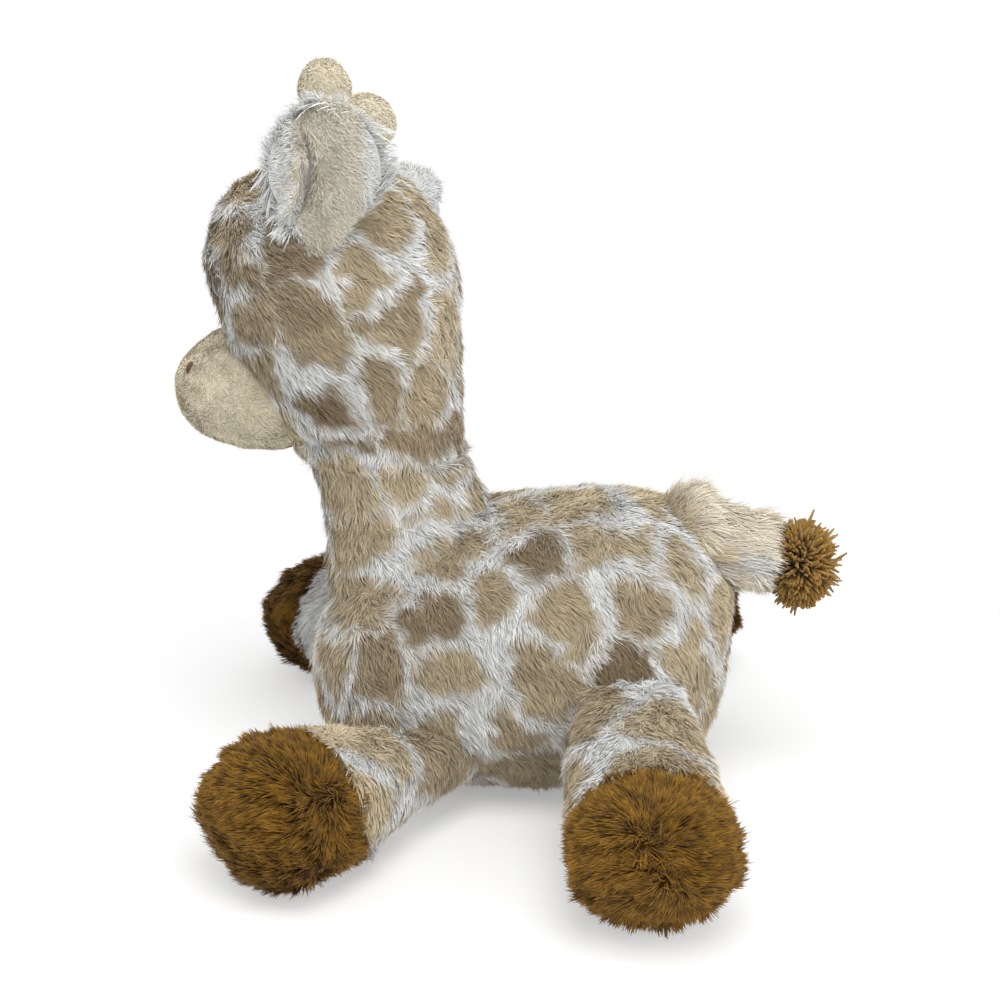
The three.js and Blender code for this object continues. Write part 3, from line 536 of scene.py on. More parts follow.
def horn_form(horn):
    axis = turned(UP, LEFT, -horn["lean"])
    length = HORN["root"] + horn["length"] - HORN["end_cap"] / 2
    rows = []
    for along, swell in HORN_SHARES:
        radius = HORN["root"] + (HORN["end"] - HORN["root"]) * swell
        rows.append((along * length, -radius, 0, radius, radius))
    start = in_head(horn["side"] * HORN["across"], horn["forward"], HORN["height"]) - HORN["root"] * axis
    return Form(start, axis, np.cross(axis, LEFT), length, rows, HORN["root"], HORN["end_cap"])


def ear_frame(ear):
    """An ear's pivot, the direction that it stands in and the one that its lining faces."""
    lean, sweep = math.radians(ear["lean"]), math.radians(ear["sweep"])
    axis = np.array([
        ear["side"] * math.sin(lean) * math.cos(sweep), math.sin(lean) * math.sin(sweep), math.cos(lean),
    ])
    outward = ear["side"] * LEFT
    face = turned(unit(outward - axis * np.dot(outward, axis)), axis, ear["face"])
    pivot = in_head(ear["side"] * EAR_ROOT["across"], EAR_ROOT["forward"], EAR_ROOT["height"])
    return pivot, axis, face


HORN_FORMS = {name: horn_form(horn) for name, horn in HORNS.items()}
EAR_FRAMES = {name: ear_frame(ear) for name, ear in EARS.items()}


def waves(points, size, seed):
    """A smooth random value at each point, about -1 to 1, whose swells are about size across."""
    rng = np.random.default_rng(seed)
    count = 7
    ways = unit(rng.normal(size=(count, 3))) * (2 * math.pi / size) * rng.uniform(0.6, 1.5, (count, 1))
    return np.sin(points @ ways.T + rng.uniform(0, 2 * math.pi, count)).sum(1) / math.sqrt(count)


def wave_vectors(points, size, seed):
    return np.stack([waves(points, size, seed + i) for i in range(3)], 1)


class Skin:
    """A closed surface in millimetres: its points, faces and the directions straight out of it."""

    def __init__(self, points, faces, places=None):
        self.points, self.faces = np.asarray(points, float), faces
        self.places = places
        tri = [(f[0], f[i], f[i + 1]) for f in faces for i in range(1, len(f) - 1)]
        self.triangles = np.array(tri)
        self.settle()

    def settle(self):
        a, b, c = (self.points[self.triangles[:, i]] for i in range(3))
        flat = np.cross(b - a, c - a)
        self.areas = np.linalg.norm(flat, axis=1) / 2
        self.normals = np.zeros_like(self.points)
        for i in range(3):
            np.add.at(self.normals, self.triangles[:, i], flat)
        self.normals = unit(self.normals)

    def push(self, amounts):
        """Moves each point straight out by its amount."""
        self.points = self.points + self.normals * np.asarray(amounts)[:, None]
        self.points[:, 2] = np.maximum(self.points[:, 2], COVER_GAP)
        self.settle()
        return self


def bump(away, breadth, power=2):
    """A smooth rise from 0 to 1 and back where away passes 0."""
    return np.exp(-((away / breadth) ** power))


def ramp(values, start, over):
    """Rises from 0 at start to 1 where the values are over further on."""
    return np.clip((values - start) / over, 0, 1)


def distances(points, spot):
    return np.linalg.norm(points - spot, axis=1)


def pole_faces(rings, sides):
    """The faces of a closed surface whose points are a pole, rings of points and the other pole."""
    faces, end = [], rings * sides + 1
    for k in range(sides):
        n = (k + 1) % sides
        faces.append((0, 1 + n, 1 + k))
        faces += [(a + k, a + n, a + sides + n, a + sides + k) for a in range(1, end - sides, sides)]
        faces.append((end, end - sides + k, end - sides + n))
    return faces


def loft(form, inset, rings, sides, begin=None, end=None):
    """The closed skin of a form, or of the part of it from begin to end."""
    length = form.length - 2 * inset
    low = 0 if begin is None else begin
    high = length if end is None else end
    places = [0.5 * (1 - math.cos(i / rings * math.pi)) * length for i in range(1, rings)]
    places = [p for p in places if low < p < high]
    places = ([low] if begin is not None or not form.start_cap else []) + places
    places += [high] if end is not None or not form.end_cap else []
    angles = np.arange(sides) / sides * 2 * math.pi
    grid = form.point(inset, *np.meshgrid(places, angles, indexing="ij"))
    down_and_up = np.array([-math.pi / 2, math.pi / 2])
    poles = [form.point(inset, np.full(2, p), down_and_up).mean(0) for p in (low, high)]
    points = np.vstack([poles[0][None], grid.reshape(-1, 3), poles[1][None]])
    along = np.concatenate([[low], np.repeat(places, sides), [high]])
    return Skin(points, pole_faces(len(places), sides), along)


@functools.cache
def coat_patches():
    """The known middles of patches, and more of them over the rest of the head, the neck and the body."""
    rng = np.random.default_rng(12)
    forms = (TORSO_FORM, NECK_FORM, HEAD_FORM)
    points = np.concatenate([loft(form, INSET["plush"], 44, 44).points for form in forms])
    places = np.array(HEAD_PATCHES + NECK_PATCHES + TORSO_PATCHES, float)
    for point in points[rng.permutation(len(points))]:
        spacing = COAT["apart"] * rng.uniform(0.9, 1.03)
        if distances(places[:, :3], point).min() > spacing:
            # The numbers from 100 on are those of the patches that are added
            places = np.vstack([places, (*point, rng.uniform(0.3, 0.8), 100 + len(places))])
    return places


def patch_values(points, places):
    """How far into a patch each point lies, from 0 on the white lines to 1, and how dark that patch is."""
    warped = points + COAT["long_waver"] * wave_vectors(points, 26, 71)
    warped = warped + COAT["short_waver"] * wave_vectors(points, 9, 83)
    gaps = np.stack([distances(warped, place[:3]) for place in places], 1)
    first = gaps.argmin(1)
    others = np.where(places[first, 4][:, None] == places[None, :, 4], np.inf, gaps)
    second = others.argmin(1)
    rows = np.arange(len(points))
    near, far = gaps[rows, first], gaps[rows, second]
    apart = np.linalg.norm(places[first, :3] - places[second, :3], axis=1)
    from_border = (far**2 - near**2) / (2 * np.maximum(apart, 1))
    line = COAT["line"] + COAT["line_varies"] * waves(points, 46, 97)
    from_line = (from_border - line) / COAT["line_soft"]
    depth = np.clip(np.minimum(from_line, (COAT["reach"] - near) / COAT["reach_soft"]), 0, 1)
    return depth, places[first, 3] ** 1.6 * (0.6 + 0.4 * depth)


def new_mesh(name, points, faces):
    mesh = bpy.data.meshes.new(name)
    mesh.from_pydata((points * MM).tolist(), [], faces)
    mesh.polygons.foreach_set("use_smooth", np.ones(len(mesh.polygons), bool))
    made = bpy.data.objects.new(name, mesh)
    bpy.context.collection.objects.link(made)
    return made


def store(mesh, name, values):
    mesh.attributes.new(name, "FLOAT", "POINT").data.foreach_set("value", np.asarray(values, np.float32))


def cover(name, skin, finish, nodes, patch=None):
    """Makes the cloth of a stuffed cover, in place of the nodes that it stands for."""
    made = new_mesh(name, skin.points, skin.faces)
    level, tone = patch if patch else (np.zeros(len(skin.points)), np.zeros(len(skin.points)))
    store(made.data, "patch", level)
    store(made.data, "tone", tone)
    made.data.materials.append(finish)
    if nodes:
        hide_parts(*nodes)
    return made


def strand_mesh(name, strips, along, finish, values, normals):
    """Makes one mesh of many strands, each a strip of two or three pairs of points and a tip.

    The normals lean apart across a strip, so that it takes the light as a round fibre does.
    """
    count, each = strips.shape[:2]
    pairs = each // 2
    mesh = bpy.data.meshes.new(name)
    mesh.vertices.add(count * each)
    mesh.vertices.foreach_set("co", (strips * MM).astype(np.float32).ravel())
    pattern, starts = [], []
    for pair in range(0, 2 * pairs - 2, 2):
        starts.append(len(pattern))
        pattern += [pair, pair + 1, pair + 3, pair + 2]
    starts.append(len(pattern))
    pattern = np.array([*pattern, each - 3, each - 2, each - 1])
    loops = (np.arange(count)[:, None] * each + pattern).ravel()
    mesh.loops.add(len(loops))
    mesh.loops.foreach_set("vertex_index", loops.astype(np.int32))
    mesh.polygons.add(count * pairs)
    mesh.polygons.foreach_set(
        "loop_start", (np.arange(count)[:, None] * len(pattern) + np.array(starts)).astype(np.int32).ravel())
    mesh.update(calc_edges=True)
    mesh.polygons.foreach_set("use_smooth", np.ones(count * pairs, bool))
    along = np.append(np.repeat(along[:-1], 2), along[-1])
    across = np.append(np.tile([0.0, 1.0], pairs), 0.5)
    store(mesh, "along", np.tile(along, count))
    store(mesh, "across", np.tile(across, count))
    for key, value in values.items():
        store(mesh, key, np.repeat(value, each))
    # Each strand has a cell of its own, so that its colours can be baked
    cells = math.ceil(math.sqrt(count))
    corner = np.stack([np.arange(count) % cells, np.arange(count) // cells], 1) / cells
    spot = corner[:, None] + (0.2 + 0.6 * np.stack([across, along], 1)[None]) / cells
    mesh.uv_layers.new(name="OFBake").data.foreach_set("uv", spot[:, pattern].astype(np.float32).ravel())
    held = mesh.attributes.new("custom_normal", "FLOAT_VECTOR", "POINT")
    held.data.foreach_set("vector", normals.astype(np.float32).ravel())
    mesh.materials.append(finish)
    made = bpy.data.objects.new(name, mesh)
    bpy.context.collection.objects.link(made)
    return made


def scatter(skin, density, rng, keep=None):
    """Random roots over a skin, and the directions out of it there."""
    weights = skin.areas.copy()
    if keep is not None:
        middles = skin.points[skin.triangles].mean(1)
        weights *= keep(middles)
    count = int(weights.sum() * density)
    picked = rng.choice(len(weights), count, p=weights / weights.sum())
    u, v = rng.random(count), rng.random(count)
    over = u + v > 1
    u[over], v[over] = 1 - u[over], 1 - v[over]
    share = np.stack([1 - u - v, u, v], 1)[..., None]
    corners = skin.triangles[picked]
    return (skin.points[corners] * share).sum(1), unit((skin.normals[corners] * share).sum(1))


def pile(name, skin, finish, flow, seed, length, density, width, rise=0.25, run=0.9, clump=1.8, pull=0.3,
         stray=0.18, wander=0.35, pairs=2, keep=None, trim=None, patches=None):
    """Grows the pile of a cloth: strands that rise from the skin, run with the flow and gather in locks.

    Rise and run are how far a tip stands off the skin and lies along it, as shares of the length.
    """
    rng = np.random.default_rng(seed)
    roots, out = scatter(skin, density, rng, keep)
    if trim is not None:
        kept = trim(roots)
        roots, out = roots[kept], out[kept]
    count = len(roots)
    # Strands follow the flow, wander together in long and short waves, and stray one by one
    way = flow(roots, out) + wander * wave_vectors(roots, 26, seed + 5)
    way = way + 0.28 * wave_vectors(roots, 9, seed + 9) + stray * rng.normal(size=(count, 3))
    way = unit(way - out * (way * out).sum(1, keepdims=True))
    long = length * rng.uniform(0.75, 1.12, count)[:, None] * (1 + 0.12 * waves(roots, 15, seed + 3))[:, None]
    high = (rise * (1 + 0.35 * waves(roots, 12, seed + 4)) * rng.uniform(0.75, 1.25, count))[:, None]
    knees = roots + long * (0.7 * high * out + 0.25 * run * way)
    tips = roots + long * (high * out + run * way) + 0.1 * long * rng.normal(size=(count, 3))
    # Locks: the tips of neighbouring strands are drawn to the tip of the strand at their middle
    middles = np.arange(count)[: max(int(count / density / clump**2), 1)]
    tree = KDTree(len(middles))
    for i in middles:
        tree.insert(roots[i], i)
    tree.balance()
    lock = np.array([tree.find(p)[1] for p in roots])
    drawn = (pull * rng.uniform(0.4, 1.2, count))[:, None]
    tips = tips + drawn * (tips[lock] - tips) * 0.9
    knees = knees + 0.45 * drawn * (knees[lock] - knees)
    # Each strand bends from half a millimetre under its root over its knee to its tip
    stops = (0.0, 0.55, 1.0) if pairs == 2 else (0.0, 0.45, 0.8, 1.0)
    steps = [(1 - t) ** 2 * (roots - 0.5 * out) + 2 * t * (1 - t) * knees + t * t * tips for t in stops]
    along = unit(tips - roots)
    side = unit(np.cross(along, out) + 1e-6)
    roll = rng.uniform(-0.8, 0.8, count)[:, None]
    side = unit(side * np.cos(roll) + np.cross(along, side) * np.sin(roll))
    broad = 0.5 * width * rng.uniform(0.7, 1.3, count)[:, None]
    edges = []
    for step, share in zip(steps[:-1], (0.8, 1.0, 0.75)):
        edges += [step - side * broad * share, step + side * broad * share]
    strips = np.stack([*edges, steps[-1]], 1)
    lean = np.append(np.tile([-0.8, 0.8], pairs), 0.0)[None, :, None]
    normals = unit(0.6 * np.cross(side, along)[:, None] + lean * side[:, None])
    strips[..., 2] = np.maximum(strips[..., 2], STRAND_GAP)
    if patches is None:
        level, tone = np.zeros(count), np.zeros(count)
    elif callable(patches):
        level, tone = patches(roots)
    else:
        level, tone = patch_values(roots, patches)
        level = np.clip(level + 0.25 * (rng.random(count) - 0.5), 0, 1)
    return strand_mesh(name, strips, stops, finish, {
        "patch": level, "tone": tone, "strand": rng.random(count), "lock": rng.random(count)[lock],
    }, normals)


def node(tree, kind, inputs=None, **settings):
    """Adds one node. Inputs are values, or the sockets that they come from."""
    made = tree.nodes.new(kind)
    for key, value in settings.items():
        setattr(made, key, value)
    for key, value in (inputs or {}).items():
        if isinstance(value, bpy.types.NodeSocket):
            tree.links.new(value, made.inputs[key])
        else:
            made.inputs[key].default_value = value
    return made


def start_finish(name):
    made = bpy.data.materials.new(name)
    made.use_nodes = True
    tree = made.node_tree
    tree.nodes.clear()
    return made, tree


def end_finish(tree, colour, roughness, bump=None, **levels):
    inputs = {"Base Color": colour, "Roughness": roughness}
    inputs.update({key.replace("_", " "): value for key, value in levels.items()})
    if bump is not None:
        inputs["Normal"] = bump
    shader = node(tree, "ShaderNodeBsdfPrincipled", inputs)
    node(tree, "ShaderNodeOutputMaterial", {"Surface": shader.outputs[0]})


def rgba(colour, level=1.0):
    return (*(c * level for c in colour), 1.0)


def grains(millimetres):
    """The scale of a texture whose grains are about that size on the object."""
    return 1 / (millimetres * MM)


def shaded(tree, colour, shades):
    """A colour times a row of values, each brought from one range to another before."""
    for value, from_low, from_high, low, high in shades:
        factor = node(tree, "ShaderNodeMapRange", {
            "Value": value, "From Min": from_low, "From Max": from_high, "To Min": low, "To Max": high,
        })
        colour = node(tree, "ShaderNodeMix", {0: 1.0, 6: colour, 7: factor.outputs["Result"]},
                      data_type="RGBA", blend_type="MULTIPLY").outputs[2]
    return colour


def fibres(tree, strand, across):
    """A value that splits each strand lengthwise into two or three fibres."""
    turn = node(tree, "ShaderNodeMath", {0: strand, 1: 61.0}, operation="MULTIPLY")
    at = node(tree, "ShaderNodeMath", {0: across, 1: 2.2, 2: turn.outputs[0]}, operation="MULTIPLY_ADD")
    return node(tree, "ShaderNodeTexNoise", {"W": at.outputs[0], "Scale": 1.0, "Detail": 0.0},
                noise_dimensions="1D").outputs["Fac"]


def pile_finish(name, pale, tip, deep, root, strand_low=0.92, lock_low=0.9, sheen=0.2):
    """Brushed pile: dull, in shade at its roots, with every strand and lock of a slightly different shade.

    Pale is the colour outside the patches, and tip and deep those of a light and a dark patch. Root is
    painted shade at the roots, with the roots' own warmer tint.
    """
    made, tree = start_finish(name)
    held = {key: node(tree, "ShaderNodeAttribute", attribute_name=key).outputs["Fac"]
            for key in ("patch", "tone", "along", "across", "strand", "lock")}
    patch = node(tree, "ShaderNodeMix", {0: held["tone"], 6: tip, 7: deep}, data_type="RGBA").outputs[2]
    colour = node(tree, "ShaderNodeMix", {0: held["patch"], 6: pale, 7: patch}, data_type="RGBA").outputs[2]
    # Painted shade: the colour is multiplied by the root colour at the roots, fading out three quarters of
    # the way up
    low = node(tree, "ShaderNodeMapRange", {
        "Value": held["along"], "From Max": 0.75, "To Min": 1.0, "To Max": 0.0,
    })
    colour = node(tree, "ShaderNodeMix", {0: low.outputs["Result"], 6: colour, 7: root}, data_type="RGBA",
                  blend_type="MULTIPLY").outputs[2]
    at = node(tree, "ShaderNodeTexCoord").outputs["Object"]
    cloud = node(tree, "ShaderNodeTexNoise", {"Vector": at, "Scale": grains(14)}).outputs["Fac"]
    colour = shaded(tree, colour, (
        (held["strand"], 0, 1, strand_low, 1.0),
        (held["lock"], 0, 1, lock_low, 1.02),
        (cloud, 0.3, 0.7, 0.9, 1.06),
        (fibres(tree, held["strand"], held["across"]), 0.3, 0.7, 0.88, 1.03),
    ))
    end_finish(tree, colour, 0.75, Sheen_Weight=sheen, Sheen_Roughness=0.5, Specular_IOR_Level=0.15)
    return made


def backing_finish(name, pale, tip, deep, level):
    """The knitted ground of a pile cloth, seen only between the strands, where it is in shade."""
    made, tree = start_finish(name)
    held = {key: node(tree, "ShaderNodeAttribute", attribute_name=key).outputs["Fac"]
            for key in ("patch", "tone")}
    patch = node(tree, "ShaderNodeMix", {0: held["tone"], 6: tip, 7: deep}, data_type="RGBA").outputs[2]
    colour = node(tree, "ShaderNodeMix", {0: held["patch"], 6: pale, 7: patch}, data_type="RGBA").outputs[2]
    at = node(tree, "ShaderNodeTexCoord").outputs["Object"]
    grain = node(tree, "ShaderNodeTexNoise", {"Vector": at, "Scale": grains(1.5)}).outputs["Fac"]
    # Painted shade: the ground's colour is dimmed to between four fifths of the level and the level, in a
    # fine grain
    colour = shaded(tree, colour, ((grain, 0.35, 0.65, level * 0.8, level),))
    end_finish(tree, colour, 0.95, Specular_IOR_Level=0.1)
    return made


def shag_finish(name, root, tip):
    """Shag: dark at its roots, painted shade between its tufts, with a broad soft gloss along its strands."""
    made, tree = start_finish(name)
    held = {key: node(tree, "ShaderNodeAttribute", attribute_name=key).outputs["Fac"]
            for key in ("along", "across", "strand", "lock")}
    # Painted shade: the colour runs from the dark root colour low on each strand to the tip colour near its
    # end
    rise = node(tree, "ShaderNodeMapRange", {"Value": held["along"], "From Min": 0.1, "From Max": 0.9})
    colour = node(tree, "ShaderNodeMix", {0: rise.outputs["Result"], 6: root, 7: tip},
                  data_type="RGBA").outputs[2]
    at = node(tree, "ShaderNodeTexCoord").outputs["Object"]
    tufts = node(tree, "ShaderNodeTexNoise", {"Vector": at, "Scale": grains(5), "Detail": 1.0}).outputs["Fac"]
    colour = shaded(tree, colour, (
        (held["strand"], 0, 1, 0.76, 1.1),
        (held["lock"], 0, 1, 0.78, 1.1),
        (tufts, 0.35, 0.6, 0.64, 1.09),
        (fibres(tree, held["strand"], held["across"]), 0.3, 0.7, 0.8, 1.04),
    ))
    end_finish(tree, colour, 0.62, Sheen_Weight=0.06, Sheen_Roughness=0.5, Specular_IOR_Level=0.22)
    return made


def yarn_finish(name, colour):
    """Spun yarn: matt, darker towards the binding, which is painted shade inside the pom-pom, with a fuzz
    drawn coarser than it is.
    """
    made, tree = start_finish(name)
    held = {key: node(tree, "ShaderNodeAttribute", attribute_name=key).outputs["Fac"]
            for key in ("along", "strand")}
    at = node(tree, "ShaderNodeTexCoord").outputs["Object"]
    fuzz = node(tree, "ShaderNodeTexNoise", {"Vector": at, "Scale": grains(0.8)}).outputs["Fac"]
    # The along value darkens the yarn towards the binding: painted shade
    tint = shaded(tree, colour, (
        (held["strand"], 0, 1, 0.75, 1.1), (held["along"], 0, 0.9, 0.5, 1.05), (fuzz, 0.3, 0.7, 0.8, 1.12),
    ))
    end_finish(tree, tint, 0.78, Sheen_Weight=0.15, Sheen_Roughness=0.5, Specular_IOR_Level=0.15)
    return made


def thread_finish(name, colour):
    """Twisted thread: its plies catch the light in turn."""
    made, tree = start_finish(name)
    at = node(tree, "ShaderNodeTexCoord").outputs["Object"]
    ply = node(tree, "ShaderNodeTexNoise", {"Vector": at, "Scale": grains(0.4)}).outputs["Fac"]
    end_finish(tree, shaded(tree, colour, ((ply, 0.3, 0.7, 0.7, 1.1),)), 0.5, Specular_IOR_Level=0.4)
    return made


def plastic_finish(name, colour, roughness):
    """Moulded plastic: even, with a faint cloudiness in its colour and gloss."""
    made, tree = start_finish(name)
    at = node(tree, "ShaderNodeTexCoord").outputs["Object"]
    cloud = node(tree, "ShaderNodeTexNoise", {"Vector": at, "Scale": grains(6)}).outputs["Fac"]
    gloss = node(tree, "ShaderNodeMapRange", {
        "Value": cloud, "From Min": 0.3, "From Max": 0.7, "To Min": roughness, "To Max": roughness * 1.4,
    })
    end_finish(tree, shaded(tree, colour, ((cloud, 0.3, 0.7, 0.9, 1.05),)), gloss.outputs["Result"])
    return made


@functools.cache
def finishes():
    """One finish for each cloth, yarn and plastic of the toy, made once."""
    colours = bpy.context.scene.giraffe_colours
    white, tan, brown = rgba(colours.white), rgba(colours.tan), rgba(colours.brown)
    cream, tail = rgba(colours.cream), rgba(colours.tail)
    hoof, hoof_root_shade = rgba(colours.hoof), rgba(colours.hoof_root_shade)
    return {
        # Painted shade: each pile finish's last colour dims its roots, a little warm, and each ground's last
        # number dims the ground between the strands
        # Printed polyester plush, brushed: soft and matt, white lines between tan patches
        "plush": pile_finish("brushed_plush_pile", white, tan, brown, (0.83, 0.82, 0.79, 1)),
        "plush_ground": backing_finish("plush_ground", white, tan, brown, 0.66),
        # Polyester plush with a longer pile: cream, whiter along its side and end and tan towards its root
        "tail": pile_finish("cream_plush_pile", tail, white, tan, (0.84, 0.81, 0.75, 1)),
        "tail_ground": backing_finish("cream_plush_ground", tail, white, tan, 0.6),
        # Minky: a short dense knitted pile, smooth and dull with a faint sheen
        "minky": pile_finish("minky_pile", cream, cream, cream, (0.84, 0.81, 0.75, 1), 0.92, 0.95, 0.3),
        "minky_ground": backing_finish("minky_ground", cream, cream, cream, 0.75),
        # Lining plush: as the minky but longer, and white at its edges
        "lining": pile_finish("lining_pile", rgba(linear("#E0DBCC")), white, white, (0.78, 0.74, 0.67, 1),
                              0.88, 0.93, 0.3),
        # Acrylic shag: long curly pile, golden at its tips and deep brown at its roots, which is painted
        # shade
        "shag": shag_finish("acrylic_shag_pile", hoof_root_shade, hoof),
        "shag_ground": backing_finish("shag_ground", hoof_root_shade, hoof_root_shade, hoof_root_shade, 0.6),
        # Acrylic knitting yarn: spun plies, matt and fuzzy
        "yarn": yarn_finish("spun_acrylic_yarn", rgba(colours.yarn)),
        # Polyester sewing thread: twisted, with a slight gloss
        "thread": thread_finish("twisted_sewing_thread", rgba(linear("#5B4026"))),
        # Moulded ABS: hard and glossy, nearly black
        "eye": plastic_finish("moulded_abs_eye", rgba(colours.eye), 0.08),
        # Moulded polypropylene: milky and half matt
        "washer": plastic_finish("moulded_polypropylene_washer", rgba(linear("#E7E5DF")), 0.45),
    }


def sizes():
    """The sizes of the panel, in millimetres."""
    held = bpy.context.scene.giraffe_sizes
    return {key: getattr(held, key) / MM for key in held.__annotations__}


def place(piece, slot, body):
    """Gives a piece the body that it moves with. The slot is not used."""
    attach(piece, body)


def bend(piece, slot, body, other, start, end):
    """Bakes a piece's transform into its mesh. The slot, the two bodies and start and end are not used."""
    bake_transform(piece)


def lumps(skin, amount, seed):
    """Uneven stuffing: low swells and small hollows."""
    return skin.push(amount * (0.7 * waves(skin.points, 48, seed) + 0.4 * waves(skin.points, 20, seed + 1)))


def one_way(way):
    """Pile that is combed one way all over."""
    def flow(points, out):
        return np.tile(way, (len(points), 1))
    return flow


def outside(*forms, level=0.75, inset=3.5):
    """A test that keeps what isn't hidden well inside other forms."""
    def keep(points):
        kept = np.ones(len(points), bool)
        for form in forms:
            kept &= form.level(points, inset) > level
        return kept
    return keep


def build_torso():
    size, finish, patches = sizes(), finishes(), coat_patches()
    skin = lumps(loft(TORSO_FORM, INSET["plush"], rings=110, sides=120), amount=1.0, seed=11)
    # The back dips behind the neck and before the tail
    dips = sum(reach * bump(skin.points[:, 1] - along, breadth) for along, reach, breadth in BACK_DIPS)
    skin.points[:, 2] += dips * ramp(skin.points[:, 2], start=115, over=30)
    skin.settle()
    piece = cover("torso_cover", skin, finish["plush_ground"], ("torso_skin", "torso_stuffing"),
                  patch_values(skin.points, patches))
    place(piece, "plush", "torso")
    buried = outside(NECK_FORM, *(form for form, _, _ in LEG_FORMS.values()))
    tail_root = outside(TAIL_FORM, level=1.3)
    for side, half in (("left", 1), ("right", -1)):
        # The belly that the toy rests on needs few strands
        fur = pile(f"torso_pile_{side}", skin, finish["plush"], one_way(BODY_WAY), 21 + half,
                   size["body_pile"],
                   keep=lambda p, half=half: np.where(p[:, 2] < 2.0, 0.1, 1.0) * (p[:, 0] * half > 0),
                   trim=lambda p: buried(p) & tail_root(p), patches=patches, **PILES["plush"])
        place(fur, "plush", "torso")


def build_neck():
    size, finish, patches = sizes(), finishes(), coat_patches()
    inset = INSET["plush"]
    middle = NECK["depth"] / 2 + NECK["rise"] * 0.5
    top = NECK["depth"] / 2 + NECK["rise"]
    split = NECK_FORM.start[2] + middle
    for name, begin, end, bodies, heights, nodes in (
        ("neck_lower", 12, middle, ("torso", "neck"), (94, 132), ("neck_skin", "neck_stuffing")),
        ("neck_upper", middle, top, ("neck", "head"), (split + 2, NECK_TOP - 2), ()),
    ):
        skin = lumps(loft(NECK_FORM, inset, 90, 96, begin - inset, end - inset), amount=0.8, seed=31)
        # Folds across the nape, and a fuller root where the neck meets the back
        rear = ramp(skin.points[:, 1], start=-62, over=25)
        for height, reach, breadth in NAPE_FOLDS:
            skin.push(reach * rear * bump(skin.points[:, 2] - height, breadth))
        piece = cover(f"{name}_cover", skin, finish["plush_ground"], nodes,
                      patch_values(skin.points, patches))
        ends = [(0, NECK_PIVOT[1], z) for z in heights]
        bend(piece, "plush", *bodies, *ends)
        cuts = skin.points[:, 2].min(), skin.points[:, 2].max()

        def keep(points, cuts=cuts):
            return (np.abs(points[:, 2] - cuts[0]) > 0.3) & (np.abs(points[:, 2] - cuts[1]) > 0.3)

        fur = pile(f"{name}_pile", skin, finish["plush"], one_way(BODY_WAY), 33, size["body_pile"], keep=keep,
                   trim=outside(TORSO_FORM, level=0.8), patches=patches, **PILES["plush"])
        bend(fur, "plush", *bodies, *ends)


def head_flow(points, out):
    """The head's pile runs back from the muzzle and down, and straight down where the neck starts."""
    down = np.clip(1 - (points[:, 2] - NECK_TOP) / 45, 0, 1)[:, None]
    return (0.9 - 0.7 * down) * BACK - (0.75 + 0.35 * down) * UP


def build_head():
    size, finish, patches = sizes(), finishes(), coat_patches()
    skin = lumps(loft(HEAD_FORM, INSET["plush"], 110, 110, begin=-INSET["plush"]), amount=0.9, seed=41)
    # A fold under the chin, a full forehead, and sockets where the washers draw the eyes in
    height, front = skin.points[:, 2], ramp(-skin.points[:, 1], start=52, over=22)
    skin.push(sum(reach * front * bump(height - at, breadth) for at, reach, breadth in CHIN_FOLDS))
    skin.push(FOREHEAD["swell"] * bump(distances(skin.points, FOREHEAD["middle"]), FOREHEAD["breadth"]))
    eyes = [eye_place(side)[0] for side in (1, -1)]
    for eye in eyes:
        skin.push(-EYE["drawn"] * bump(distances(skin.points, eye), EYE["hollow"]))
    piece = cover("head_cover", skin, finish["plush_ground"], ("head_skin", "head_stuffing"),
                  patch_values(skin.points, patches))
    place(piece, "plush", "head")

    def trim(points):
        clear = outside(MUZZLE_FORM, *HORN_FORMS.values(), level=0.9, inset=INSET["horn"])(points)
        for eye in eyes:
            clear &= distances(points, eye) > EYE["radius"] + 0.9
        return clear

    fur = pile("head_pile", skin, finish["plush"], head_flow, 43, size["body_pile"] * 0.95,
               keep=lambda p: p[:, 2] > NECK_TOP + 0.3, trim=trim, patches=patches, **PILES["head"])
    place(fur, "plush", "head")


def short_cloth(name, skin, body, nodes, kind, **settings):
    """A cover of a short-pile cloth, minky or lining, and its pile."""
    finish = finishes()
    place(cover(f"{name}_cover", skin, finish["minky_ground"], nodes), "minky", body)
    fur = pile(f"{name}_pile", skin, finish[kind], **PILES[kind], **settings)
    place(fur, "minky", body)


def build_muzzle():
    skin = lumps(loft(MUZZLE_FORM, INSET["muzzle"], rings=80, sides=84), amount=0.6, seed=51)
    short_cloth("muzzle", skin, "head", ("muzzle_skin", "muzzle_stuffing"), "minky", flow=one_way(MUZZLE_WAY),
                seed=52, length=sizes()["short_pile"], trim=outside(HEAD_FORM, level=0.85))


def on_form(form, at, angle):
    """The point of a form at a place and an angle, and the direction straight out of it."""
    step = form.length / 1000
    point = form.point(0, np.array([at]), np.array([angle]))[0]
    along = form.point(0, np.array([at + step, at - step]), np.full(2, angle))
    round_it = form.point(0, np.full(2, at), np.array([angle + 0.01, angle - 0.01]))
    return point, unit(np.cross(round_it[0] - round_it[1], along[0] - along[1]))


def eye_place(side):
    angle = math.pi / 2 + side * EYE["turn"] * 2 * math.pi
    return on_form(HEAD_FORM, EYE["height"] * HEAD["height"], angle)


def sideways(axis):
    """A direction square to an axis."""
    return unit(np.cross(axis, UP if abs(axis[2]) < 0.9 else LEFT))


def circle(middle, radius, side, other, angles):
    return middle + radius * (np.cos(angles)[:, None] * side + np.sin(angles)[:, None] * other)


def ring_faces(pairs, sides):
    """The faces between rings of points, for each pair of rings that is joined."""
    return [(a * sides + k, a * sides + (k + 1) % sides, b * sides + (k + 1) % sides, b * sides + k)
            for a, b in pairs for k in range(sides)]


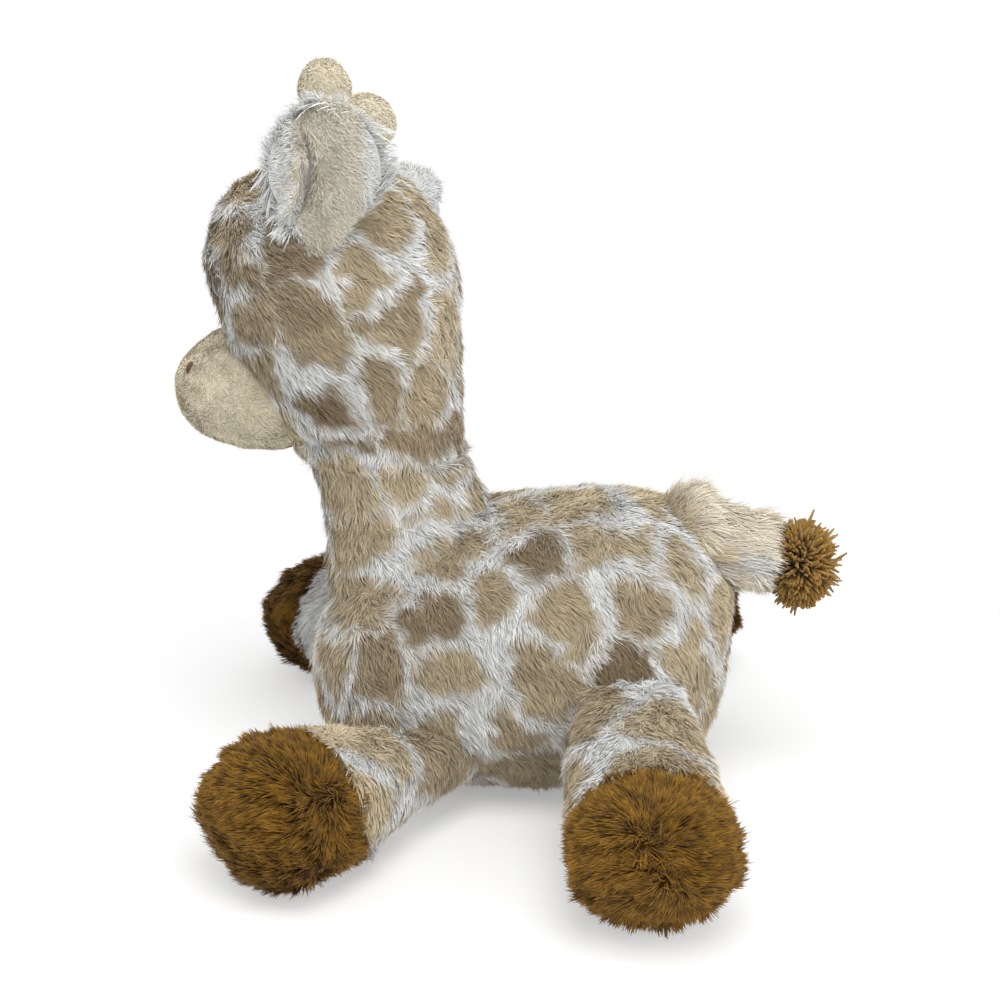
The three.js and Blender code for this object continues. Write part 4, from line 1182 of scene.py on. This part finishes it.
def lathe(profile, sides, middle, axis):
    """A turned closed mesh: the profile holds a radius and a height along the axis.

    It runs from pole to pole, or round a ring if it starts away from the axis.
    """
    axis = unit(axis)
    side = sideways(axis)
    other = np.cross(axis, side)
    angles = np.arange(sides) / sides * 2 * math.pi
    closed = profile[0][0] > 0
    turned_points = profile if closed else profile[1:-1]
    rings = [circle(middle + h * axis, r, side, other, angles) for r, h in turned_points]
    if closed:
        count = len(rings)
        return np.vstack(rings), ring_faces([(r, (r + 1) % count) for r in range(count)], sides)
    first, last = ([middle + h * axis] for _, h in (profile[0], profile[-1]))
    return np.vstack([first, *rings, last]), pole_faces(len(rings), sides)


def dome_profile():
    """An eye: a stem, a flat back and a domed front."""
    back, corner, steps = -0.3, 0.1, 12
    profile = [
        (0, -EYE["stem_length"]), (EYE["stem"], -EYE["stem_length"]), (EYE["stem"], back),
        (EYE["radius"] - 0.5, back), (EYE["radius"], corner), (EYE["radius"], EYE["rim"]),
    ]
    for i in range(1, steps):
        a = i / steps * math.pi / 2
        profile.append((EYE["radius"] * math.cos(a), EYE["rim"] + (EYE["dome"] - EYE["rim"]) * math.sin(a)))
    return [*profile, (0, EYE["dome"])]


def washer_profile():
    """A washer: a ring with rounded edges round the stem, drawn in with its eye."""
    near, far = -WASHER["inside"], -WASHER["inside"] - WASHER["thickness"]
    bore, rim, edge = EYE["stem"] + WASHER["clearance"], WASHER["radius"], WASHER["edge"]
    return [
        (bore, far), (rim - edge, far), (rim, far + edge),
        (rim, near - edge), (rim - edge, near), (bore, near),
    ]


def build_eyes():
    finish = finishes()
    for name, side in (("left_eye", 1), ("right_eye", -1)):
        point, out = eye_place(side)
        seat = point - (EYE["set_in"] + EYE["drawn"]) * out
        for piece_name, node_name, profile, kind, slot in (
            (f"{name}_dome", name, dome_profile(), "eye", "eye_plastic"),
            (f"{name}_washer_ring", f"{name}_washer", washer_profile(), "washer", "washer_plastic"),
        ):
            piece = new_mesh(piece_name, *lathe(profile, 40, seat, out))
            piece.data.materials.append(finish[kind])
            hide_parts(node_name)
            place(piece, slot, "head")


def tube(path, radius, sides, twist=0.0):
    """Rings of points along a path, and the faces between them."""
    path = np.asarray(path, float)
    along = unit(np.gradient(path, axis=0))
    side = sideways(along[0])
    rings = []
    for i, (p, a) in enumerate(zip(path, along)):
        side = unit(side - a * np.dot(side, a))
        angles = np.arange(sides) / sides * 2 * math.pi + twist * i
        rings.append(circle(p, radius[i], side, np.cross(a, side), angles))
    last = len(rings) - 1
    faces = [tuple(range(sides))[::-1], *ring_faces([(r, r + 1) for r in range(last)], sides)]
    faces.append(tuple(last * sides + k for k in range(sides)))
    return np.vstack(rings), faces


def joined(parts):
    points, faces, base = [], [], 0
    for p, f in parts:
        points.append(p)
        faces += [tuple(i + base for i in face) for face in f]
        base += len(p)
    return np.vstack(points), faces


def build_nostrils():
    """Each nostril is a short satin stitch: a few threads side by side."""
    steps = np.linspace(-0.5, 0.5, 9)
    for name, side in (("left_nostril_stitch", 1), ("right_nostril_stitch", -1)):
        angle = math.pi / 2 + side * NOSTRIL["turn"] * 2 * math.pi
        point, out = on_form(MUZZLE_FORM, NOSTRIL["along"] * MUZZLE["length"], angle)
        up = unit(UP - out * np.dot(UP, out))
        over = np.cross(up, out)
        parts = []
        for k in range(-2, 3):
            # The outer threads are shorter, and each dives into the cloth at its ends
            reach = NOSTRIL["length"] * (1 - 0.08 * k * k)
            path = [point + up * t * reach + over * k * NOSTRIL["thread"] * 0.9
                    + out * (0.9 * (1 - (2 * t) ** 4) - 1.1) for t in steps]
            parts.append(tube(path, np.full(len(steps), NOSTRIL["thread"]), 6, 0.5))
        piece = new_mesh(f"{name}_thread", *joined(parts))
        piece.data.materials.append(finishes()["thread"])
        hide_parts(name)
        place(piece, "thread", "head")


def ear_form(name, low, high, margin):
    pivot, axis, face = EAR_FRAMES[name]
    return Form(pivot, axis, face, EAR["length"],
                [(a * EAR["length"], low * thick, 0, high * thick, half * margin * EAR["width"] / 2)
                 for a, half, thick in EAR_SHARES], 0, EAR["tip_cap"])


def in_ear(points, name):
    """Points as shares of an ear: towards its front, as a share of its half width, and up it."""
    pivot, axis, face = EAR_FRAMES[name]
    away = points - pivot
    return away @ np.cross(face, axis) / (EAR["width"] / 2), away @ axis / EAR["length"]


def curl(skin, name):
    """Curls an ear's sides towards its lining and gathers its root forwards."""
    pivot, axis, face = EAR_FRAMES[name]
    side, high = in_ear(skin.points, name)
    gathered = np.clip(1 - high / 0.5, 0, 1) ** 1.5
    forwards = 8.0 * gathered - 0.35 * side * gathered * EAR["width"] / 2
    skin.points = skin.points + EAR["cup"] * (side**2)[:, None] * face
    skin.points = skin.points + forwards[:, None] * np.cross(face, axis)
    # The far ear is drawn smaller, because its long pile fills up what its leaf lacks
    if name == "right_ear":
        smaller = (skin.points - pivot) * FAR_EAR["size_share"]
        skin.points = pivot + smaller + FAR_EAR["back"] * BACK - FAR_EAR["down"] * UP
    skin.settle()


def ear_fold(points, name):
    """How far in front of the fold in an ear's lining each point lies, and how far up the ear."""
    side, high = in_ear(points, name)
    return side - FOLD["across"] - FOLD["curve"] * (high - FOLD["middle"]) ** 2, high


def facing(skin, face):
    """How squarely each triangle of a skin faces a direction, from -1 to 1."""
    return skin.normals[skin.triangles].mean(1) @ face


def build_ear_leaf(name, index):
    """An ear's plush leaf, the pile of its back and the long fringe round it."""
    size, finish = sizes(), finishes()
    axis, face = EAR_FRAMES[name][1:]
    wide = np.cross(face, axis)
    reach = size["fringe"] * EARS[name]["fringe"]
    leaf = loft(ear_form(name, -EAR["thickness"] / 2, EAR["thickness"] / 2, 1), INSET["leaf"], 60, 60)
    curl(leaf, name)
    place(cover(f"{name}_leaf", leaf, finish["plush_ground"], (f"{name}_back",)), "plush", name)

    def brushed(points, out):
        side = in_ear(points, name)[0]
        return 0.3 * axis + side[:, None] * wide * 1.3 - 0.2 * face

    fur = pile(f"{name}_pile", leaf, finish["plush"], brushed, 61 + index, reach * 0.65,
               keep=lambda p: facing(leaf, face) < 0.35, **PILES["leaf"])
    place(fur, "plush", name)

    def hanging(points, out):
        side, high = in_ear(points, name)
        down = np.clip(side * 2, 0, 1) * np.clip(3 - high * 4, -1, 0.5)
        return side[:, None] * wide * 1.3 - down[:, None] * axis + 0.25 * face

    def edge(points):
        side, high = in_ear(points, name)
        rim = np.abs(facing(leaf, face)) < 0.55
        return rim * np.clip(high * 8 - 1, 0, 1) * np.where(side > -0.1, 1.0, 0.25)

    fringe = pile(f"{name}_fringe", leaf, finish["plush"], hanging, 65 + index, reach, keep=edge,
                  density=EARS[name]["dense"], **PILES["fringe"])
    place(fringe, "plush", name)


def build_ear_lining(name, index):
    """An ear's lining: a front lip, a deep slit and a rear lobe, with its pile brushed away from the slit."""
    axis, face = EAR_FRAMES[name][1:]
    wide = np.cross(face, axis)
    form = ear_form(name, 0, EAR["thickness"] / 2 + LINING["thickness"], LINING["margin"])
    pad = loft(form, INSET["lining"], 70, 70)
    fold, high = ear_fold(pad.points, name)
    side = in_ear(pad.points, name)[0]
    slit = bump(fold, 0.065) * bump(high - 0.52, 0.26, 4)
    lobe = bump(side + 0.2, 0.42) * bump(high - 0.5, 0.45, 4)
    lip = bump(fold - 0.2, 0.15) * bump(high - 0.5, 0.35, 4)
    curl(pad, name)
    front = np.clip(2 * pad.normals @ face, 0, 1)
    pad.push(front * (-9.0 * slit + 4.5 * lobe + 6.0 * lip) + 0.6 * waves(pad.points, 18, 70 + index))

    def white_edge(points):
        side = in_ear(points, name)[0]
        out_by = np.where(side > 0, side + 0.14, -side)
        return np.clip((out_by + 0.08 * waves(points, 9, 79) - 0.5) / 0.2, 0, 1), np.zeros(len(points))

    def beside_slit(points):
        fold, high = ear_fold(points, name)
        return (np.abs(fold) > 0.04) | (np.abs(high - 0.52) > 0.2)

    def parted(points, out):
        return np.tanh(ear_fold(points, name)[0] / 0.04)[:, None] * wide - 0.5 * axis

    short_cloth(f"{name}_lining", pad, name, (f"{name}_lining",), "lining", flow=parted, seed=75 + index,
                length=sizes()["lining_pile"], keep=lambda p: facing(pad, face) > -0.1, trim=beside_slit,
                patches=white_edge)


def build_ears():
    for index, name in enumerate(EARS):
        build_ear_leaf(name, index)
        build_ear_lining(name, index)


def build_horns():
    for index, (name, form) in enumerate(HORN_FORMS.items()):
        skin = lumps(loft(form, INSET["horn"], rings=56, sides=56), amount=0.7, seed=81 + index)
        if name == "right_horn":
            high = np.clip(skin.places / form.length * 1.6 - 0.5, 0, 1)
            skin.push(-FAR_HORN["slimmer"] * high)
            skin.points = skin.points + FAR_HORN["ahead"] * AHEAD
            skin.points = skin.points + (FAR_HORN["longer"] * high)[:, None] * form.axis
        short_cloth(name, skin, name, (f"{name}_skin", f"{name}_stuffing"), "minky", flow=one_way(BODY_WAY),
                    seed=85 + index, length=sizes()["short_pile"], trim=outside(HEAD_FORM, level=0.85))


def seam_slant(points, pair):
    """How much nearer to the body a hoof's seam lies low down: the shag runs back under the leg there."""
    return np.clip(HOOF["sole"] - points[:, 2], 0, HOOF["most_slant"]) * pair["slant"]


def slant(skin, form, seam, pair):
    """Draws the end of a leg's or hoof's skin back along its slanted seam."""
    near_seam = bump(skin.places - seam, 18)
    skin.points = skin.points - (near_seam * seam_slant(skin.points, pair))[:, None] * form.axis


def crown_flow(crown):
    """Pile that runs away from the line along which it parts."""
    def flow(points, out):
        nearest, least = np.zeros_like(points), np.full(len(points), np.inf)
        for a, b in zip(crown[:-1], crown[1:]):
            share = np.clip((points - a) @ (b - a) / np.dot(b - a, b - a), 0, 1)
            spot = a + share[:, None] * (b - a)
            gap = np.linalg.norm(points - spot, axis=1)
            closer = gap < least
            nearest[closer], least[closer] = spot[closer], gap[closer]
        return (points - nearest) / 10
    return flow


def spread(skin, form, side, pair, share):
    """Widens a leg, ahead and behind by its pair's amounts."""
    broad = (skin.points - form.start) @ form.across * side
    wider = np.where(broad < 0, *pair["wider"])
    skin.points = skin.points + (wider * share * broad * side)[:, None] * form.across
    skin.settle()


def build_limb(name, index):
    """A leg's cover down to the seam of its hoof, and its pile."""
    size, finish, leg = sizes(), finishes(), LEGS[name]
    form, pivot, seam = LEG_FORMS[name]
    seam += leg["late"]
    pair, side, inset = LEG_PAIRS[leg["pair"]], leg["side"], INSET["plush"]
    limb = lumps(loft(form, inset, 90, 84, end=seam - inset), amount=1.0, seed=91 + index)
    limb.push(-SEAM_PINCH * bump(limb.places - (seam - inset), 6))
    slant(limb, form, seam - inset, pair)
    if leg["pair"] == "hind":
        # The thighs are pressed flat on top where they are sewn on
        over = np.maximum(limb.points[:, 2] - THIGH["top"], 0)
        limb.points[:, 2] -= THIGH["flat_share"] * over * np.clip(1.3 - limb.places / THIGH["long"], 0, 1)
    spread(limb, form, side, pair, np.clip(limb.places / 60 - 0.4, 0, 1))
    patches = np.array([(side * x, y, z, tone, patch) for x, y, z, tone, patch in LEG_PATCHES[leg["pair"]]])
    piece = cover(f"{name}_leg_cover", limb, finish["plush_ground"],
                  (f"{name}_leg_skin", f"{name}_leg_stuffing"), patch_values(limb.points, patches))
    ends = (pivot - 4 * form.axis, pivot + 42 * form.axis)
    bend(piece, "plush", "torso", f"{name}_leg", *ends)
    fur = pile(f"{name}_leg_pile", limb, finish["plush"], one_way(0.45 * form.axis - UP), 95 + index,
               size["body_pile"] * 0.85, trim=outside(TORSO_FORM, level=0.85), patches=patches,
               keep=lambda p: (p - form.start) @ form.axis < seam - 0.4 - seam_slant(p, pair), **PILES["leg"])
    bend(fur, "plush", "torso", f"{name}_leg", *ends)


def build_hoof(name, index):
    """A leg's round hoof and its shag."""
    size, finish, leg = sizes(), finishes(), LEGS[name]
    form, _, seam = LEG_FORMS[name]
    seam += leg["late"]
    pair, side, inset = LEG_PAIRS[leg["pair"]], leg["side"], INSET["shag"]
    hoof = lumps(loft(form, inset, 110, 96, begin=seam - inset), amount=1.3, seed=101 + index)
    into = np.clip((hoof.places - seam + inset) / 40, 0, 1)
    low = np.maximum(HOOF["sole"] - hoof.points[:, 2], 0)
    slant(hoof, form, seam - inset, pair)
    # A hind hoof is lower than it is broad, and the soles are drawn back under the hooves
    hoof.points[:, 2] = HOOF["middle"] + (hoof.points[:, 2] - HOOF["radius"]) * pair["tall"]
    hoof.points = hoof.points - (pair["sole_back"] * into * low)[:, None] * form.axis
    spread(hoof, form, side, pair, np.ones(len(hoof.points)))
    hoof.push(-SEAM_PINCH * bump(hoof.places - (seam - inset), 5))
    piece = cover(f"{name}_hoof_cover", hoof, finish["shag_ground"], (f"{name}_hoof_skin",))
    place(piece, "shag", f"{name}_leg")
    crown = []
    for back, turn in CROWNS[leg["pair"]]:
        angle = np.radians([turn if side > 0 else 180 - turn])
        crown.append(form.point(inset, np.array([form.length - inset - back]), angle)[0])
    shag = pile(f"{name}_hoof_pile", hoof, finish["shag"], crown_flow(crown), 105 + index, size["hoof_pile"],
                keep=lambda p: (p - form.start) @ form.axis > seam - 8 - seam_slant(p, pair), **PILES["shag"])
    place(shag, "shag", f"{name}_leg")


def build_legs():
    for index, name in enumerate(LEGS):
        build_limb(name, index)
        build_hoof(name, index)


def tail_drifts(points):
    """White along the tail's side and end, tan where it is rooted, and cream between."""
    along, rise = (points[:, 1] - TAIL_PIVOT[1]) / TAIL["length"], points[:, 2] - TAIL_PIVOT[2]
    wave = waves(points, 30, 117)
    white = np.clip(1.1 - np.abs(rise + 6 + 5 * wave) / 9, 0, 1) * np.clip(along * 2.2, 0, 1)
    tan = np.clip(1.2 - along * 2.5 - np.abs(rise + 4) / 14, 0, 1)
    return np.maximum(white, tan), np.clip(2 * tan - white, 0, 1)


def build_tail():
    size, finish = sizes(), finishes()
    skin = lumps(loft(TAIL_FORM, INSET["tail"], rings=70, sides=72), amount=0.8, seed=111)
    skin.push(2.0 * np.clip(skin.places / TAIL_FORM.length * 2 - 0.8, 0, 1))
    # Its back is full, from a high root in one slope to the pom-pom
    along, over = skin.points[:, 1] - TAIL_PIVOT[1], np.clip(skin.normals[:, 2], 0, 1)
    skin.points[:, 2] += over * sum(reach * bump(along - at, breadth) for at, reach, breadth in TAIL_SWELLS)
    skin.settle()
    piece = cover("tail_cover", skin, finish["tail_ground"], ("tail_skin", "tail_stuffing"),
                  tail_drifts(skin.points))
    ends = (TAIL_PIVOT, TAIL_PIVOT + 30 * BACK)
    bend(piece, "plush", "torso", "tail", *ends)
    fur = pile("tail_pile", skin, finish["tail"], one_way(TAIL_WAY), 112, size["tail_pile"],
               trim=outside(TORSO_FORM, level=0.8), patches=tail_drifts, **PILES["tail"])
    bend(fur, "plush", "torso", "tail", *ends)


def build_pompom():
    """A pom-pom: cut ends of yarn that stand out all round from the binding."""
    size, finish = sizes(), finishes()
    rng = np.random.default_rng(121)
    inward = POMPOM_PIVOT - POMPOM_MIDDLE
    start = POMPOM["start_share"]
    steps = np.linspace(start, 1, len(YARN_SHARES))
    parts, along, shades = [], [], []
    for way in unit(rng.normal(size=(POMPOM["strands"], 3))):
        if way @ inward / np.linalg.norm(inward) > 0.93:
            continue
        loose = way[1] > 0.75 and rng.random() < 0.25
        # It is pressed against the tail, so it is taller than it is long
        way = way * (1.05, 0.86, 1.15)
        reach = POMPOM["radius"] * (rng.uniform(0.9, 1.04) + (rng.uniform(0.12, 0.3) if loose else 0))
        aside = np.cross(way, rng.normal(size=3)) * rng.uniform(0.05, 0.4 + 0.2 * loose) * reach
        path = [POMPOM_MIDDLE + POMPOM["shift"] + way * reach * t + aside * (t - start) ** 2 for t in steps]
        thick = size["yarn"] / 2 * rng.uniform(0.8, 1.15) * np.array(YARN_SHARES)
        parts.append(tube(path, thick, 5, 0.35))
        along += list(np.repeat(steps, 5))
        shades += [rng.random()] * len(parts[-1][0])
    piece = new_mesh("tail_pompom_yarn", *joined(parts))
    store(piece.data, "along", along)
    store(piece.data, "strand", shades)
    piece.data.materials.append(finish["yarn"])
    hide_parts("tail_pompom")
    place(piece, "yarn", "pompom")
    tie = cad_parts["pompom_tie"]
    tie.data.materials.clear()
    tie.data.materials.append(finish["thread"])


def aimed(name, data, at, target):
    """An object that looks from its place at a target."""
    made = bpy.data.objects.new(name, data)
    made.location = at
    made.rotation_euler = (Vector(target) - made.location).to_track_quat("-Z", "Y").to_euler()
    bpy.context.collection.objects.link(made)
    return made


def build_floor():
    """Matt white paper: it keeps the toy's soft shadow, and further out the camera sees plain white."""
    corners = ((-1, -1, 0), (1, -1, 0), (1, 1, 0), (-1, 1, 0))
    ground = new_mesh("floor", FLOOR_HALF * np.array(corners) / MM, [(0, 1, 2, 3)])
    paper, tree = start_finish("matt_white_paper")
    at = node(tree, "ShaderNodeTexCoord").outputs["Object"]
    speck = node(tree, "ShaderNodeTexNoise", {"Vector": at, "Scale": grains(3)}).outputs["Fac"]
    tint = shaded(tree, rgba(linear("#F8F8F8")), ((speck, 0.3, 0.7, 0.985, 1.0),))
    sheet = node(tree, "ShaderNodeBsdfDiffuse", {"Color": tint})
    white = node(tree, "ShaderNodeEmission", {"Color": (1, 1, 1, 1), "Strength": 1.0})
    far = node(tree, "ShaderNodeVectorMath", {0: at}, operation="LENGTH").outputs["Value"]
    plain = node(tree, "ShaderNodeMapRange", {
        "Value": far, "From Min": 0.12, "From Max": 0.42, "To Min": 0.35,
    })
    ray = node(tree, "ShaderNodeLightPath")
    seen = node(tree, "ShaderNodeMath", {0: plain.outputs["Result"], 1: ray.outputs["Is Camera Ray"]},
                operation="MULTIPLY").outputs[0]
    both = node(tree, "ShaderNodeMixShader", {0: seen, 1: sheet.outputs[0], 2: white.outputs[0]})
    node(tree, "ShaderNodeOutputMaterial", {"Surface": both.outputs[0]})
    ground.data.materials.append(paper)


def build_surround():
    """A white world: softer as a light than it is to the camera and in reflections."""
    world = bpy.data.worlds.new("white_surround")
    bpy.context.scene.world = world
    world.use_nodes = True
    tree = world.node_tree
    tree.nodes.clear()
    ray = node(tree, "ShaderNodeLightPath")
    lit = node(tree, "ShaderNodeBackground", {"Color": (1, 1, 1, 1), "Strength": 0.7})
    seen = node(tree, "ShaderNodeBackground", {"Color": (1, 1, 1, 1), "Strength": 1.0})
    direct = node(tree, "ShaderNodeMath", {0: ray.outputs["Is Camera Ray"], 1: ray.outputs["Is Glossy Ray"]},
                  operation="MAXIMUM")
    both = node(tree, "ShaderNodeMixShader", {0: direct.outputs[0], 1: lit.outputs[0], 2: seen.outputs[0]})
    node(tree, "ShaderNodeOutputWorld", {"Surface": both.outputs[0]})


def build_stage():
    """A pale floor, a white surround, soft lamps and the camera."""
    build_floor()
    build_surround()
    for name, at, breadth, power in LAMPS:
        lamp = bpy.data.lights.new(name, "AREA")
        lamp.shape, lamp.size, lamp.energy = "DISK", breadth, power
        aimed(name, lamp, at, LAMP_TARGET)
    lens = bpy.data.cameras.new("camera")
    lens.sensor_width, lens.lens, lens.clip_start = CAMERA["sensor"], CAMERA["lens"], CAMERA["near"]
    bpy.context.scene.camera = aimed("camera", lens, CAMERA["place"], CAMERA["target"])
    bpy.context.scene.view_settings.view_transform = "Standard"


class GIRAFFE_OT_stage(bpy.types.Operator):
    """Make the floor, the surround, the lamps and the camera"""

    bl_idname = "giraffe.stage"
    bl_label = "Stage"

    def execute(self, context):
        build_stage()
        return {"FINISHED"}


class GIRAFFE_OT_torso(bpy.types.Operator):
    """Make the torso's cover and pile"""

    bl_idname = "giraffe.torso"
    bl_label = "Torso"

    def execute(self, context):
        build_torso()
        return {"FINISHED"}


class GIRAFFE_OT_neck(bpy.types.Operator):
    """Make the neck's covers and pile"""

    bl_idname = "giraffe.neck"
    bl_label = "Neck"

    def execute(self, context):
        build_neck()
        return {"FINISHED"}


class GIRAFFE_OT_head(bpy.types.Operator):
    """Make the head's cover and pile"""

    bl_idname = "giraffe.head"
    bl_label = "Head"

    def execute(self, context):
        build_head()
        return {"FINISHED"}


class GIRAFFE_OT_muzzle(bpy.types.Operator):
    """Make the muzzle's short-pile cover"""

    bl_idname = "giraffe.muzzle"
    bl_label = "Muzzle"

    def execute(self, context):
        build_muzzle()
        return {"FINISHED"}


class GIRAFFE_OT_eyes(bpy.types.Operator):
    """Make the domed plastic eyes and their washers"""

    bl_idname = "giraffe.eyes"
    bl_label = "Eyes"

    def execute(self, context):
        build_eyes()
        return {"FINISHED"}


class GIRAFFE_OT_nostrils(bpy.types.Operator):
    """Make the nostril stitches"""

    bl_idname = "giraffe.nostrils"
    bl_label = "Nostrils"

    def execute(self, context):
        build_nostrils()
        return {"FINISHED"}


class GIRAFFE_OT_ears(bpy.types.Operator):
    """Make the ears, their linings and their fringes"""

    bl_idname = "giraffe.ears"
    bl_label = "Ears"

    def execute(self, context):
        build_ears()
        return {"FINISHED"}


class GIRAFFE_OT_horns(bpy.types.Operator):
    """Make the short-pile horns"""

    bl_idname = "giraffe.horns"
    bl_label = "Horns"

    def execute(self, context):
        build_horns()
        return {"FINISHED"}


class GIRAFFE_OT_legs(bpy.types.Operator):
    """Make the legs and their shaggy hooves"""

    bl_idname = "giraffe.legs"
    bl_label = "Legs"

    def execute(self, context):
        build_legs()
        return {"FINISHED"}


class GIRAFFE_OT_tail(bpy.types.Operator):
    """Make the tail's cover and pile"""

    bl_idname = "giraffe.tail"
    bl_label = "Tail"

    def execute(self, context):
        build_tail()
        return {"FINISHED"}


class GIRAFFE_OT_pompom(bpy.types.Operator):
    """Make the yarn pom-pom"""

    bl_idname = "giraffe.pompom"
    bl_label = "Pom-pom"

    def execute(self, context):
        build_pompom()
        return {"FINISHED"}


OPERATORS = (
    GIRAFFE_OT_stage, GIRAFFE_OT_torso, GIRAFFE_OT_neck, GIRAFFE_OT_head, GIRAFFE_OT_muzzle,
    GIRAFFE_OT_eyes, GIRAFFE_OT_nostrils, GIRAFFE_OT_ears, GIRAFFE_OT_horns, GIRAFFE_OT_legs,
    GIRAFFE_OT_tail, GIRAFFE_OT_pompom,
)


class GIRAFFE_PT_panel(bpy.types.Panel):
    """Sizes and colours of the giraffe, and the steps that build it"""

    bl_label = "Plush giraffe"
    bl_idname = "GIRAFFE_PT_panel"
    bl_space_type = "VIEW_3D"
    bl_region_type = "UI"
    bl_category = "Giraffe"

    def draw(self, context):
        for held in (context.scene.giraffe_sizes, context.scene.giraffe_colours):
            box = self.layout.box()
            for key in held.__annotations__:
                box.prop(held, key)
        for operator in OPERATORS:
            self.layout.operator(operator.bl_idname)


CLASSES = (GiraffeSizes, GiraffeColours, *OPERATORS, GIRAFFE_PT_panel)


def register():
    for each in CLASSES:
        bpy.utils.register_class(each)
    bpy.types.Scene.giraffe_sizes = bpy.props.PointerProperty(type=GiraffeSizes)
    bpy.types.Scene.giraffe_colours = bpy.props.PointerProperty(type=GiraffeColours)


def unregister():
    del bpy.types.Scene.giraffe_colours
    del bpy.types.Scene.giraffe_sizes
    for each in reversed(CLASSES):
        bpy.utils.unregister_class(each)


def main():
    register()
    bpy.ops.giraffe.stage()
    bpy.ops.giraffe.torso()
    bpy.ops.giraffe.neck()
    bpy.ops.giraffe.head()
    bpy.ops.giraffe.muzzle()
    bpy.ops.giraffe.eyes()
    bpy.ops.giraffe.nostrils()
    bpy.ops.giraffe.ears()
    bpy.ops.giraffe.horns()
    bpy.ops.giraffe.legs()
    bpy.ops.giraffe.tail()
    bpy.ops.giraffe.pompom()


if __name__ == "__main__":
    main()
